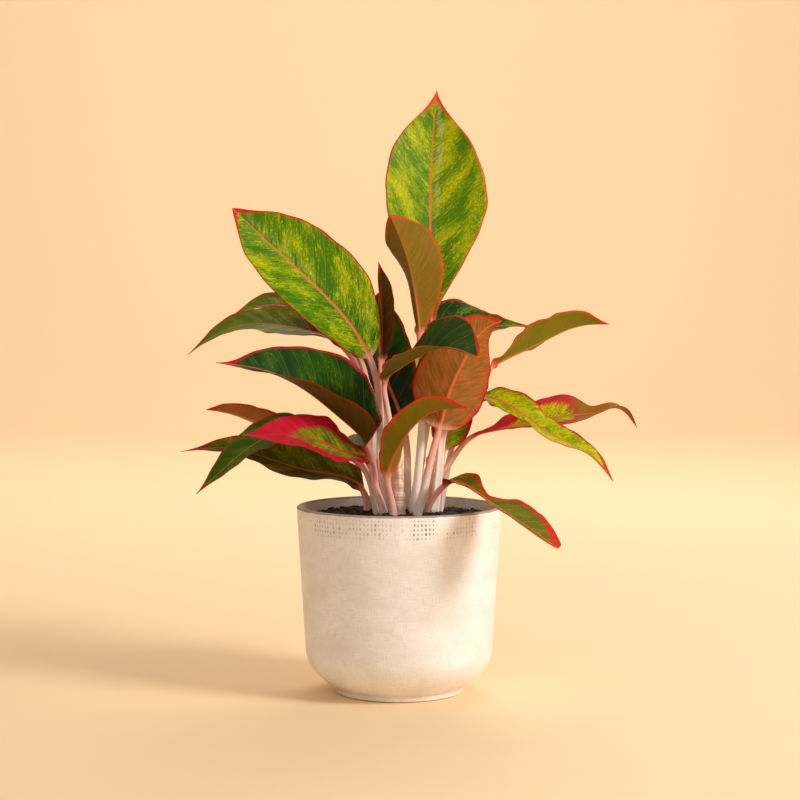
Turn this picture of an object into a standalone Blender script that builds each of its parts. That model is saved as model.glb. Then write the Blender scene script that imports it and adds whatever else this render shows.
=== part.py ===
"""Potted Chinese evergreen: a round stoneware cachepot, its potting soil, three short canes and their leaves.

Each leaf is one solid, grown as one piece: a stalk that rises from the soil and the blade at its end.
Lengths are written in millimetres and turned into metres where the meshes are made. +X is to the right of
the pot's show side, +Y is away from it, +Z is up, and the origin is the centre of the foot.
"""

import math
from dataclasses import dataclass

import bmesh
import bpy
import numpy as np

MM = 0.001

# Pot: the driving dimensions of the cachepot.
RIM_RADIUS = 70.0
POT_HEIGHT = 127.0
WALL = 4.0
BELLY_RADIUS = 64.0
BELLY_HEIGHT = 30.0
CORNER = 1.7  # 1 rounds the corner above the foot fully, and 2 makes it a plain slope
FOOT_RADIUS = 44.0
FOOT_HEIGHT = 4.0
FOOT_STEP = 1.2
BASE_THICKNESS = 7.0
RIM_ROUND = 1.6

GAP = 0.3  # left between pieces that touch

# Potting soil: flat at the wall, mounded where the shoots stand.
SOIL_EDGE = 118.4
SOIL_MOUND = 1.6
SOIL_SPREAD = 34.0
SOIL_CENTRE = (2.0, 2.0)
PIT_DEPTH = 25.0

# Leaves: how closely each is drawn.
STALK_STATIONS = 7
BLADE_STATIONS = (0.0, 0.03, 0.07, 0.12, 0.2, 0.28, 0.36, 0.44, 0.52, 0.6, 0.68, 0.76, 0.84, 0.91, 0.965, 1.0)
AROUND = 12


@dataclass(frozen=True)
class Cane:
    """A short upright shoot: where it stands, where its top is, and its radius at each end."""

    name: str
    foot: tuple
    top: tuple
    radius: tuple


@dataclass(frozen=True)
class Leaf:
    """One leaf, in millimetres and degrees.

    stalk runs from the soil to the blade's base, and rib from there to the tip. faces are the directions that
    the upper side looks in at the base, middle and tip. fold_right and fold_left are how far each half turns
    up from the midrib at the same three places, and curl is how much further it turns towards the margin.
    widest is where along the blade it is widest (0 to 1), and a smaller slender makes a fuller blade. wave is
    the height of the margin's ripples and waves how many there are. stalk_radius is given at both ends.
    waist is how much narrower the blade gets at one place along it, and that place.
    """

    name: str
    stalk: tuple
    rib: tuple
    faces: tuple
    half_width: float
    widest: float
    fold_right: tuple
    fold_left: tuple
    curl: tuple = (10.0, 10.0)
    slender: float = 0.8
    wave: float = 1.0
    waves: float = 2.5
    stalk_radius: tuple = (3.2, 2.2)
    waist: tuple = (0.0, 0.5)


def spline(points, samples):
    """Points at the chord-length parameters samples (0 to 1) on the natural cubic spline through points."""
    points = np.asarray(points, float)
    steps = np.linalg.norm(np.diff(points, axis=0), axis=1)
    knots = np.concatenate([[0.0], np.cumsum(steps)])
    n = len(points)
    matrix = np.eye(n)
    right = np.zeros_like(points)
    for i in range(1, n - 1):
        before, after = steps[i - 1], steps[i]
        matrix[i, i - 1 : i + 2] = before, 2.0 * (before + after), after
        right[i] = 6.0 * ((points[i + 1] - points[i]) / after - (points[i] - points[i - 1]) / before)
    bend = np.linalg.solve(matrix, right)
    at = np.asarray(samples, float) * knots[-1]
    i = np.clip(np.searchsorted(knots, at, side="right") - 1, 0, n - 2)
    h = steps[i][:, None]
    b = (at - knots[i])[:, None] / h
    a = 1.0 - b
    return a * points[i] + b * points[i + 1] + ((a**3 - a) * bend[i] + (b**3 - b) * bend[i + 1]) * h**2 / 6.0


def through_three(values, t):
    """The parabola through three values at t = 0, 0.5 and 1."""
    first, middle, last = (np.asarray(v, float) for v in values)
    t = np.asarray(t, float)
    t = t[:, None] if first.ndim else t
    return first * (1 - t) * (1 - 2 * t) + middle * 4 * t * (1 - t) + last * t * (2 * t - 1)


def unit(vectors):
    """Vectors scaled to length 1."""
    return vectors / np.linalg.norm(vectors, axis=-1, keepdims=True)


def outline(t, widest, slender, waist=(0.0, 0.5)):
    """Share of the blade's half width at t, which is 1 at widest and runs out to a drip tip."""
    p = slender
    q = p * (1.0 - widest) / widest
    t = np.clip(t, 0.0, 1.0)
    peak = widest**p * (1.0 - widest) ** q
    tip = np.clip((t - 0.8) / 0.2, 0.0, 1.0)
    narrow = 1.0 - waist[0] * np.exp(-(((t - waist[1]) / 0.13) ** 2))
    return narrow * t**p * (1.0 - t) ** q / peak * (1.0 - 0.35 * tip * tip * (3 - 2 * tip))


def frames(leaf, stalk_stations, blade_stations):
    """Places, tangents, sides and normals of the cross-sections, t on the blade, and the share up the stalk."""
    path = np.array(leaf.stalk + leaf.rib, float)
    steps = np.linalg.norm(np.diff(path, axis=0), axis=1)
    total = steps.sum()
    joint = steps[: len(leaf.stalk)].sum() / total
    on_stalk = np.linspace(0.0, joint, stalk_stations, endpoint=False)
    on_blade = joint + (1.0 - joint) * blade_stations
    at = np.concatenate([on_stalk, on_blade])
    places = spline(path, at)
    small = 1e-4
    tangents = unit(spline(path, np.minimum(at + small, 1.0)) - spline(path, np.maximum(at - small, 0.0)))
    t = np.clip((at - joint) / (1.0 - joint), 0.0, 1.0)
    facing = through_three(leaf.faces, t)
    normals = unit(facing - (facing * tangents).sum(1, keepdims=True) * tangents)
    sides = np.cross(tangents, normals)
    return places, tangents, sides, normals, t, at / joint


def arc(width, fold, curl):
    """How far out and up a half blade comes in width along an arc that starts at fold and turns by curl."""
    curl = np.where(np.abs(curl) < 1e-3, 1e-3, curl)
    out = width * (np.sin(fold + curl) - np.sin(fold)) / curl
    rise = width * (np.cos(fold) - np.cos(fold + curl)) / curl
    return out, rise


def leaf_rings(leaf, stalk_stations, blade_stations, around, thickness=0.5, rib_height=0.9):
    """Rings of points round a leaf, from the soil to the tip, as an array (stations, around, 3)."""
    places, _, sides, normals, t, up_stalk = frames(leaf, stalk_stations, blade_stations)
    angle = 2.0 * math.pi * np.arange(around) / around
    across, lift = np.cos(angle), np.sin(angle)
    base_radius, top_radius = leaf.stalk_radius
    share = np.clip(up_stalk, 0.0, 1.0)
    stalk = base_radius + (top_radius - base_radius) * share**0.7
    stalk = stalk * (1.0 - 0.9 * t)
    width = leaf.half_width * outline(t, leaf.widest, leaf.slender, leaf.waist)
    half = np.sqrt(stalk**2 + width**2)
    blade = np.clip(t / 0.08, 0.0, 1.0)
    blade = blade * blade * (3 - 2 * blade)
    fold = {
        1: np.radians(through_three(leaf.fold_right, t)) * blade,
        -1: np.radians(through_three(leaf.fold_left, t)) * blade,
    }
    curl = {1: math.radians(leaf.curl[0]) * blade, -1: math.radians(leaf.curl[1]) * blade}
    rings = []
    for v, up in zip(across, lift):
        side = 1 if v >= 0 else -1
        reach = abs(v)
        out, rise = arc(half * reach, fold[side], curl[side] * reach)
        ripple = leaf.wave * reach**2 * np.sin(2 * math.pi * (leaf.waves * t + 0.3 * side)) * blade * (1 - t)
        body = stalk * (1 - blade) + blade * (
            thickness + (rib_height * (1 - 0.8 * t)) * np.exp(-((half * reach / 2.2) ** 2))
        )
        offset = rise + ripple + body * up
        rings.append(places + sides * (side * out)[:, None] + normals * offset[:, None])
    return np.stack(rings, axis=1)


def ring_faces(stations, around):
    """Quads between neighbouring rings, and a cap at each end."""
    faces = []
    for i in range(stations - 1):
        for k in range(around):
            a, b = i * around + k, i * around + (k + 1) % around
            faces.append((a, b, b + around, a + around))
    faces.append(tuple(reversed(range(around))))
    faces.append(tuple(range((stations - 1) * around, stations * around)))
    return faces


LEAVES = (
    Leaf(
        name="leaf_top",
        stalk=((9, 3, 122), (15.5, 6.5, 160), (22, 10, 210)),
        rib=((23, 12, 250), (22, 17, 290), (22, 21, 350), (26, 22, 411)),
        faces=((0.1, -1, 0.1), (0.1, -1, 0.1), (0, -1, 0.2)),
        half_width=39,
        widest=0.55,
        fold_right=(0, 2, 4),
        fold_left=(30, 28, 10),
        slender=1.6,
    ),
    Leaf(
        name="leaf_young_front",
        stalk=((10, -7, 121), (15, -3, 172), (16, -1, 215)),
        rib=((14, -4, 243), (11, -9, 267), (4, -14, 299), (-6, -12, 324)),
        faces=((0, 1, 0), (0, 1, 0), (-0.3, 1, 0.3)),
        half_width=23.5,
        widest=0.6,
        fold_right=(60, 72, 40),
        fold_left=(20, 5, 10),
        curl=(14, 10),
        slender=0.9,
    ),
    Leaf(
        name="leaf_upper_left",
        stalk=((-8, -4, 121), (-12.5, -2, 160), (-14, -1, 205)),
        rib=((-20, -5, 228), (-52, -12, 272), (-86, -18, 304), (-111, -22, 328)),
        faces=((0.2, -0.9, 0.3), (0.1, -0.95, 0.3), (0, -0.9, 0.4)),
        half_width=33,
        widest=0.46,
        fold_right=(0, 2, 4),
        fold_left=(25, 30, 10),
        curl=(8, 8),
        slender=0.68,
    ),
    Leaf(
        name="leaf_spear",
        stalk=((0.5, 6.5, 121), (-6.5, 8, 170), (-11, 8, 205)),
        rib=((-12, 8, 225), (-12, 8, 245), (-12, 8, 270), (-14, 8, 293)),
        faces=((0.3, -1, 0), (0.3, -1, 0), (0.3, -1, 0)),
        half_width=14,
        widest=0.45,
        fold_right=(45, 45, 30),
        fold_left=(55, 55, 30),
        curl=(40, 40),
    ),
    Leaf(
        name="leaf_back_centre",
        stalk=((5, 12.5, 122), (6, 19, 150)),
        rib=((2, 26, 184), (-8, 31, 210), (-14, 38, 239), (-14, 46, 272)),
        faces=((0.2, -1, 0.3), (0.1, -1, 0.3), (0, -1, 0.5)),
        half_width=23,
        widest=0.45,
        fold_right=(15, 15, 15),
        fold_left=(10, 10, 10),
        slender=0.6,
    ),
    Leaf(
        name="leaf_centre",
        stalk=((-1, -0.5, 121), (-5, -4, 160), (-8, -6, 192)),
        rib=((-10, -6, 211), (-2, -18, 220), (13, -38, 230), (31, -54, 236), (51, -65, 230)),
        faces=((-0.5, 0, 0.9), (-0.1, -0.4, 0.9), (0.3, -0.5, 0.9)),
        half_width=24,
        widest=0.65,
        fold_right=(15, 20, 20),
        fold_left=(5, 28, 45),
        slender=0.8,
    ),
    Leaf(
        name="leaf_right_upright",
        stalk=((12, -18, 121), (18, -18, 144), (23, -17, 166)),
        rib=((27, -15, 180), (34, -12, 205), (45, -7, 228), (57, 0, 246), (70, 5, 253)),
        faces=((0, 1, 0), (-0.2, 1, 0.2), (-0.2, 0.8, 0.6)),
        half_width=27,
        widest=0.38,
        fold_right=(20, 15, 10),
        fold_left=(10, 8, 5),
        slender=0.5,
    ),
    Leaf(
        name="leaf_right_behind",
        stalk=((22, 17, 122), (27, 20, 170), (32, 23, 200)),
        rib=((36, 25, 228), (39, 27, 248), (56, 30, 248), (80, 34, 249), (97, 37, 247)),
        faces=((-0.3, -0.9, 0.3), (-0.2, -0.6, 0.8), (0.3, -0.5, 0.8)),
        half_width=20,
        widest=0.22,
        fold_right=(20, 20, 10),
        fold_left=(30, 20, 10),
        slender=0.45,
        wave=2.2,
    ),
    Leaf(
        name="leaf_front",
        stalk=((-3.5, -18, 121), (-6, -19, 135)),
        rib=((-8, -22, 147), (-3, -29, 164), (7, -42, 181), (22, -54, 194), (45, -65, 197)),
        faces=((-0.2, 0.9, 0.2), (-0.4, 0.5, 0.7), (0, 0.3, 0.9)),
        half_width=15,
        widest=0.5,
        fold_right=(10, 30, 45),
        fold_left=(0, 50, 50),
        slender=0.8,
    ),
    Leaf(
        name="leaf_small_right",
        stalk=((27, 2.5, 122), (28, 4, 140)),
        rib=((30, 6, 164), (36, 8, 182), (41, 12, 200), (45, 15, 216)),
        faces=((0, -1, 0.3), (0, -1, 0.3), (0, -1, 0.3)),
        half_width=14,
        widest=0.35,
        fold_right=(10, 10, 10),
        fold_left=(10, 10, 10),
        wave=2.2,
    ),
    Leaf(
        name="leaf_right_high",
        stalk=((27.5, 12, 122), (35, 20.5, 160), (48, 22, 200)),
        rib=((62, 20, 219), (84, 24, 231), (105, 28, 241), (126, 32, 249), (147, 35, 250)),
        faces=((-0.3, 0.1, 0.9), (-0.33, 0.1, 0.93), (0, 0, 1)),
        half_width=17,
        widest=0.55,
        fold_right=(45, 50, 30),
        fold_left=(-5, -5, 0),
        slender=1.2,
        wave=2.2,
    ),
    Leaf(
        name="leaf_right_middle",
        stalk=((24, -4.5, 122), (28, -2.5, 160), (36, 0, 190)),
        rib=((55, 6, 200), (83, -6, 190), (108, -18, 173.5), (128, -25, 164), (143, -30, 146)),
        faces=((0.2, -0.4, 0.8), (0.4, -0.4, 0.8), (0.6, -0.3, 0.6)),
        half_width=13,
        widest=0.35,
        fold_right=(5, 5, 5),
        fold_left=(40, 22, 25),
        slender=0.45,
        wave=2.2,
    ),
    Leaf(
        name="leaf_right_red",
        stalk=((19, 10, 122), (21, 10.5, 138), (31.5, 12, 151)),
        rib=((48, 20, 171), (72, 21, 178), (98, 22, 183), (118, 24, 187), (136, 26, 188.5), (151, 28, 192), (166, 30, 178)),
        faces=((-0.2, 0.4, 0.9), (0, -0.7, 0.8), (0.2, 0.6, 0.7)),
        half_width=17,
        widest=0.55,
        fold_right=(30, 20, 20),
        fold_left=(20, 20, 20),
        slender=1.4,
        waist=(0.6, 0.74),
    ),
    Leaf(
        name="leaf_over_rim",
        stalk=((17, -7.5, 122.5), (21, -12, 130)),
        rib=((31, -18, 143), (47, -40, 143), (63.5, -62, 133), (81, -82, 123), (101, -98, 110)),
        faces=((0, -0.4, 0.9), (0.3, -0.4, 0.8), (0.6, -0.5, 0.6)),
        half_width=16,
        widest=0.6,
        fold_right=(20, 20, 10),
        fold_left=(20, 20, 10),
        slender=0.45,
        waist=(0.75, 0.37),
    ),
    Leaf(
        name="leaf_left_middle",
        stalk=((-14, -7.5, 121), (-16, -7.5, 140)),
        rib=((-21, -10, 168), (-38, -18, 187), (-60, -28, 205.5), (-85, -37, 219), (-120, -45, 226)),
        faces=((0.4, -0.6, 0.7), (0.3, -0.6, 0.7), (0.1, -0.6, 0.8)),
        half_width=33,
        widest=0.34,
        fold_right=(50, 45, 10),
        fold_left=(60, 50, 10),
        curl=(8, 8),
        slender=0.7,
        wave=2.2,
    ),
    Leaf(
        name="leaf_left_red",
        stalk=((-9.5, -13.5, 121), (-12, -14, 130), (-16, -14, 142)),
        rib=((-20, -15, 158), (-33, -24, 164), (-49, -36, 172), (-76, -52, 179), (-102, -60, 179)),
        faces=((0.2, -0.4, 0.9), (0.1, -0.6, 0.8), (0, -0.5, 0.9)),
        half_width=20,
        widest=0.4,
        fold_right=(20, 15, 10),
        fold_left=(10, 5, 5),
        slender=0.7,
        wave=2.2,
    ),
    Leaf(
        name="leaf_left_behind_red",
        stalk=((-15, -0.5, 121), (-22, -2, 150)),
        rib=((-40, -4, 170), (-67, -10, 178), (-92, -15, 173), (-114, -20, 157), (-136, -25, 137)),
        faces=((0.2, -0.4, 0.9), (-0.2, -0.4, 0.9), (-0.5, -0.4, 0.7)),
        half_width=19,
        widest=0.42,
        fold_right=(15, 10, 10),
        fold_left=(5, 5, 5),
        wave=2.2,
    ),
    Leaf(
        name="leaf_left_low",
        stalk=((-21.5, 3, 121), (-22, 4.5, 129)),
        rib=((-25, 5, 137), (-61, 3, 150), (-88, 4, 158), (-116, 8, 165), (-150, 10, 163)),
        faces=((0.3, -0.5, 0.9), (0.2, -0.5, 0.8), (0, -0.4, 0.9)),
        half_width=21,
        widest=0.36,
        fold_right=(20, 20, 10),
        fold_left=(15, 15, 10),
        wave=2.2,
    ),
    Leaf(
        name="leaf_left_small",
        stalk=((-15, 15, 122), (-20, 14.5, 145)),
        rib=((-45, 20, 165), (-80, 28, 177), (-104, 33, 184), (-122, 37, 189), (-135, 40, 190)),
        faces=((0, 0.5, 0.9), (0, 0.5, 0.9), (0, 0.5, 0.9)),
        half_width=16,
        widest=0.5,
        fold_right=(10, 10, 10),
        fold_left=(10, 10, 10),
    ),
    Leaf(
        name="leaf_left_high_back",
        stalk=((-5.5, 13.5, 122), (-12, 16, 170), (-22, 18, 210)),
        rib=((-38, 26, 234), (-57, 38, 252), (-77, 45, 262), (-95, 48, 263), (-120, 50, 254)),
        faces=((0.3, -0.5, 0.8), (0, -0.4, 0.9), (-0.3, -0.2, 0.9)),
        half_width=19,
        widest=0.45,
        fold_right=(10, 10, 10),
        fold_left=(10, 10, 10),
        wave=2.2,
    ),
    Leaf(
        name="leaf_left_high",
        stalk=((-16.5, 7.5, 121), (-17.5, 7.5, 170), (-22, 7, 210)),
        rib=((-30, 8, 232), (-59, 10, 245), (-84, 12, 250), (-115, 15, 248), (-146, 20, 229)),
        faces=((0.2, -0.3, 0.9), (0, -0.3, 0.95), (-0.3, -0.2, 0.9)),
        half_width=21,
        widest=0.42,
        fold_right=(20, 15, 10),
        fold_left=(10, 0, 0),
        wave=2.2,
    ),
    Leaf(
        name="leaf_back_right",
        stalk=((13, 14, 122), (15, 27, 158)),
        rib=((18, 40, 188), (26, 66, 212), (32, 96, 218), (36, 124, 206)),
        faces=((0, -0.5, 0.9), (0.1, 0.1, 1), (0.1, 0.5, 0.8)),
        half_width=25,
        widest=0.42,
        fold_right=(15, 10, 5),
        fold_left=(15, 10, 5),
        wave=2.2,
    ),
    Leaf(
        name="leaf_back_left",
        stalk=((-2, 19.5, 122), (-9, 32, 165), (-16, 42, 204)),
        rib=((-22, 50, 228), (-34, 70, 250), (-46, 94, 262), (-56, 118, 258)),
        faces=((0.3, 0.1, 0.9), (-0.1, 0.4, 0.9), (-0.2, 0.5, 0.8)),
        half_width=26,
        widest=0.42,
        fold_right=(15, 10, 5),
        fold_left=(15, 10, 5),
        wave=2.2,
    ),
    Leaf(
        name="leaf_back_low",
        stalk=((-9.5, 19.5, 122), (-13, 24, 134)),
        rib=((-17, 34, 148), (-30, 56, 162), (-43, 80, 166), (-56, 106, 156)),
        faces=((0.1, -0.3, 0.9), (-0.1, 0.1, 1), (-0.2, 0.5, 0.8)),
        half_width=21,
        widest=0.42,
        fold_right=(15, 10, 5),
        fold_left=(15, 10, 5),
        wave=2.2,
    ),
)


def lathe(profile, segments):
    """Points and faces of a closed solid turned round the upright axis; profile runs from axis to axis."""
    points, rings = [], []
    for radius, height in profile:
        if radius < 1e-6:
            rings.append([len(points)])
            points.append((0.0, 0.0, height))
            continue
        rings.append(list(range(len(points), len(points) + segments)))
        for k in range(segments):
            angle = 2.0 * math.pi * k / segments
            points.append((radius * math.cos(angle), radius * math.sin(angle), height))
    faces = []
    for low, high in zip(rings, rings[1:]):
        for k in range(segments):
            a, b = low[k % len(low)], low[(k + 1) % len(low)]
            c, d = high[(k + 1) % len(high)], high[k % len(high)]
            faces.append(tuple(dict.fromkeys((a, b, c, d))))
    return np.array(points), faces


def pot_profile():
    """The cachepot's section from axis to axis: foot, corner, straight taper, soft rim, and the inside."""
    outside = [(0.0, 0.0), (FOOT_RADIUS - 2.0, 0.0), (FOOT_RADIUS, FOOT_STEP), (FOOT_RADIUS, FOOT_HEIGHT)]
    steps = 9
    for i in range(1, steps + 1):
        angle = 0.5 * math.pi * i / steps
        out = FOOT_RADIUS + (BELLY_RADIUS - FOOT_RADIUS) * math.sin(angle) ** CORNER
        outside.append((out, FOOT_HEIGHT + (BELLY_HEIGHT - FOOT_HEIGHT) * (1.0 - math.cos(angle))))
    outside.append((RIM_RADIUS, POT_HEIGHT - RIM_ROUND))
    rim = [
        (RIM_RADIUS - 0.3 * RIM_ROUND, POT_HEIGHT - 0.3 * RIM_ROUND),
        (RIM_RADIUS - RIM_ROUND, POT_HEIGHT),
        (RIM_RADIUS - WALL + RIM_ROUND, POT_HEIGHT),
        (RIM_RADIUS - WALL + 0.3 * RIM_ROUND, POT_HEIGHT - 0.3 * RIM_ROUND),
        (RIM_RADIUS - WALL, POT_HEIGHT - RIM_ROUND),
    ]
    inside = [(BELLY_RADIUS - WALL, BELLY_HEIGHT)]
    for i in range(steps - 1, 0, -1):
        angle = 0.5 * math.pi * i / steps
        out = (FOOT_RADIUS - WALL) + (BELLY_RADIUS - FOOT_RADIUS) * math.sin(angle) ** CORNER
        inside.append((out, BASE_THICKNESS + (BELLY_HEIGHT - BASE_THICKNESS) * (1.0 - math.cos(angle))))
    inside.append((0.0, BASE_THICKNESS))
    return outside + rim + inside


def soil_top(x, y):
    """Height of the potting soil at a place: low at the wall, mounded round the shoots, and lumpy."""
    away = np.hypot(x - SOIL_CENTRE[0], y - SOIL_CENTRE[1])
    mound = SOIL_MOUND * np.exp(-((away / SOIL_SPREAD) ** 4))
    rough = 0.6 * np.sin(0.31 * x + 1.0) * np.cos(0.27 * y) + 0.4 * np.sin(0.63 * x - 0.4 * y)
    fade = np.clip((58.0 - np.hypot(x, y)) / 12.0, 0.0, 1.0) * np.clip((away - 20.0) / 14.0, 0.0, 1.0)
    return SOIL_EDGE + mound + rough * fade


CANES = (
    Cane("cane_left", (-8, 5, 121), (-10.5, 4.5, 158), (4.4, 3.0)),
    Cane("cane_middle", (0.5, -9.5, 121), (-1, -10, 163), (4.6, 3.2)),
    Cane("cane_right", (17.5, 1.5, 121), (22, 4, 160), (4.4, 3.0)),
)


def soil_solid():
    """The soil: its side follows the pot's inner wall one gap away, and soil_top shapes its rings of points."""
    segments = 48
    wall = [(r, z) for r, z in pot_profile()[-10:] if r > 0]
    wall = [(r - GAP, z + GAP) for r, z in reversed(wall)]
    taper = (RIM_RADIUS - BELLY_RADIUS) / (POT_HEIGHT - RIM_ROUND - BELLY_HEIGHT)
    edge = BELLY_RADIUS - WALL + taper * (SOIL_EDGE - BELLY_HEIGHT) - GAP
    shares = (1.0, 0.92, 0.84, 0.76, 0.67, 0.58, 0.49, 0.4, 0.3, 0.2, 0.1, 0.0)
    top = [(edge * share, SOIL_EDGE) for share in shares]
    profile = [(0.0, BASE_THICKNESS + GAP)] + wall + top
    points, faces = lathe(profile, segments)
    is_top = points[:, 2] > SOIL_EDGE - 0.01
    points[is_top, 2] = soil_top(points[is_top, 0], points[is_top, 1])
    return points, faces


def cane_solid(cane, below, extra=0.0):
    """A cane as a round rod from below its foot to its top; extra widens it for the pit it stands in."""
    start, end = np.array(cane.foot, float), np.array(cane.top, float)
    around = 14
    angle = 2.0 * math.pi * np.arange(around) / around
    circle = np.stack([np.cos(angle), np.sin(angle), np.zeros(around)], axis=1)
    down = start - np.array([0.0, 0.0, below])
    shares = np.linspace(0.0, 1.0, 7)
    first, last = cane.radius
    rings = [down + circle * (first + extra)]
    for share in shares:
        joint = 0.35 * math.cos(6.0 * math.pi * share)
        radius = first + (last - first) * share + joint + extra
        rings.append(start + (end - start) * share + circle * radius)
    rings.append(end + np.array([0.0, 0.0, 2.0]) + circle * (0.6 * last + extra))
    return np.concatenate(rings), ring_faces(len(rings), around)


def leaf_solid(leaf):
    """A leaf as one closed solid: stalk and blade together."""
    rings = leaf_rings(leaf, STALK_STATIONS, np.array(BLADE_STATIONS), AROUND)
    return rings.reshape(-1, 3), ring_faces(len(rings), AROUND)


FINISHES = {
    "pot_glaze": ((0.76, 0.72, 0.64, 1.0), 0.38),
    "potting_soil": ((0.05, 0.032, 0.022, 1.0), 0.95),
    "cane_skin": ((0.74, 0.55, 0.44, 1.0), 0.5),
    "leaf_green": ((0.13, 0.3, 0.04, 1.0), 0.35),
    "leaf_red": ((0.5, 0.03, 0.05, 1.0), 0.35),
}
RED_LEAVES = ("leaf_left_red", "leaf_right_red")


def finish(name):
    """The plain material of one slot, made once."""
    if name in bpy.data.materials:
        return bpy.data.materials[name]
    colour, roughness = FINISHES[name]
    material = bpy.data.materials.new(name)
    material.use_nodes = True
    shader = material.node_tree.nodes["Principled BSDF"]
    shader.inputs["Base Color"].default_value = colour
    shader.inputs["Roughness"].default_value = roughness
    return material


def add_object(name, points, faces, slot):
    """A named object from points in millimetres, with its faces turned outwards."""
    mesh = bpy.data.meshes.new(name)
    mesh.from_pydata((np.asarray(points) * MM).tolist(), [], [list(face) for face in faces])
    shape = bmesh.new()
    shape.from_mesh(mesh)
    bmesh.ops.recalc_face_normals(shape, faces=shape.faces[:])
    bmesh.ops.triangulate(shape, faces=shape.faces[:])
    shape.to_mesh(mesh)
    shape.free()
    mesh.materials.append(finish(slot))
    thing = bpy.data.objects.new(name, mesh)
    bpy.context.scene.collection.objects.link(thing)
    return thing


def cut(thing, tool):
    """Take the tool's shape out of thing, and remove the tool."""
    step = thing.modifiers.new("cut", "BOOLEAN")
    step.operation = "DIFFERENCE"
    step.solver = "EXACT"
    step.object = tool
    with bpy.context.temp_override(object=thing, active_object=thing):
        bpy.ops.object.modifier_apply(modifier=step.name)
    bpy.data.objects.remove(tool, do_unlink=True)


def build():
    """Make the pot, the soil with a pit for each cane, the canes, and the leaves."""
    for old in list(bpy.data.objects):
        bpy.data.objects.remove(old, do_unlink=True)
    add_object("pot", *lathe(pot_profile(), 64), "pot_glaze")
    soil = add_object("potting_soil", *soil_solid(), "potting_soil")
    for cane in CANES:
        pit = add_object("pit", *cane_solid(cane, PIT_DEPTH + GAP, extra=GAP), "potting_soil")
        cut(soil, pit)
        add_object(cane.name, *cane_solid(cane, PIT_DEPTH), "cane_skin")
    for leaf in LEAVES:
        slot = "leaf_red" if leaf.name in RED_LEAVES else "leaf_green"
        add_object(leaf.name, *leaf_solid(leaf), slot)


if __name__ == "__main__":
    build()
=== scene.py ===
"""Potted Chinese evergreen: a cream stoneware cachepot, dark potting soil, three canes and their leaves.

Sizes are in millimetres in the design lists and in metres in the meshes. +X is to the right of the show side,
+Y is away from it, +Z is up, and the origin is the centre of the pot's foot.
"""

import logging
import math
from dataclasses import dataclass
from enum import Enum
from typing import Any, Sequence

import bpy
import numpy as np
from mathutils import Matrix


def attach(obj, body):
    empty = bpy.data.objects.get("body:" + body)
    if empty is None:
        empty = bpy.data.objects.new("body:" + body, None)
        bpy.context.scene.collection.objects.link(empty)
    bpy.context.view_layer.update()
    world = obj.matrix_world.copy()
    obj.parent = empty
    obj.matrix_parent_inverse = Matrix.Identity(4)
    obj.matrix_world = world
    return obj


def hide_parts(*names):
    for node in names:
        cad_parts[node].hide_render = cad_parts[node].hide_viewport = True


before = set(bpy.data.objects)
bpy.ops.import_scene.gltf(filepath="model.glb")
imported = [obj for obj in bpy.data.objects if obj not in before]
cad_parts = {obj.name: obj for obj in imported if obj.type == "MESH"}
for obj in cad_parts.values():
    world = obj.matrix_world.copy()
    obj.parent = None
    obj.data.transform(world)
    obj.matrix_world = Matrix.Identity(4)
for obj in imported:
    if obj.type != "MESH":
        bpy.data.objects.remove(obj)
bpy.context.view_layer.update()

log = logging.getLogger("evergreen")

MM = 0.001
RING_PITCH = 7.5  # millimetres between a cane's scars
VEIN_SLANT = 0.8  # how steeply a leaf's side veins leave the midrib
VEIN_CURVE = 0.006  # and how they bend forward, per millimetre
VEIN_SHIFT = 0.23  # of the distance between veins, from one half of a leaf to the other
Array = np.ndarray
Rgb = tuple[float, float, float]
Rgba = tuple[float, float, float, float]
Material = bpy.types.Material
Piece = bpy.types.Object


def paint(red: int, green: int, blue: int) -> Rgba:
    """A colour named as on a paint card (0 to 255 each), as the linear values a shader takes."""
    card = np.array([red, green, blue]) / 255.0
    linear = np.where(card <= 0.04045, card / 12.92, ((card + 0.055) / 1.055) ** 2.4)
    return (float(linear[0]), float(linear[1]), float(linear[2]), 1.0)


# --- Shader maths ----------------------------------------------------------------------------------


class Value:
    """A number travelling through a material's nodes; an expression on it adds Math nodes."""

    def __init__(self, board: "Board", socket: Any) -> None:
        """Wrap one output socket of a board's nodes."""
        self.board = board
        self.socket = socket

    def _math(self, operation: str, *terms: Any) -> "Value":
        """One Math node with the given operation on the terms."""
        sockets = {i: term for i, term in enumerate(terms)}
        return self.board.node("ShaderNodeMath", {"operation": operation}, sockets)

    def __add__(self, other: Any) -> "Value":
        """Self plus other."""
        return self._math("ADD", self, other)

    __radd__ = __add__

    def __sub__(self, other: Any) -> "Value":
        """Self less other."""
        return self._math("SUBTRACT", self, other)

    def __rsub__(self, other: Any) -> "Value":
        """Other less self."""
        return self._math("SUBTRACT", other, self)

    def __mul__(self, other: Any) -> "Value":
        """Self times other."""
        return self._math("MULTIPLY", self, other)

    __rmul__ = __mul__

    def __truediv__(self, other: Any) -> "Value":
        """Self over other."""
        return self._math("DIVIDE", self, other)

    def __pow__(self, other: Any) -> "Value":
        """Self to the power other."""
        return self._math("POWER", self, other)

    def size(self) -> "Value":
        """The value without its sign."""
        return self._math("ABSOLUTE", self)

    def sign(self) -> "Value":
        """-1, 0 or 1."""
        return self._math("SIGN", self)

    def part(self) -> "Value":
        """What is left of the value above its whole number."""
        return self._math("FRACT", self)

    def whole(self) -> "Value":
        """The whole number under the value."""
        return self._math("FLOOR", self)

    def ramp(self, low: float, high: float) -> "Value":
        """0 below low, 1 above high, and a smooth step between them; low above high turns it round."""
        settings = {"interpolation_type": "SMOOTHSTEP", "clamp": True}
        sockets = {"Value": self, "From Min": low, "From Max": high}
        return self.board.node("ShaderNodeMapRange", settings, sockets)


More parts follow.
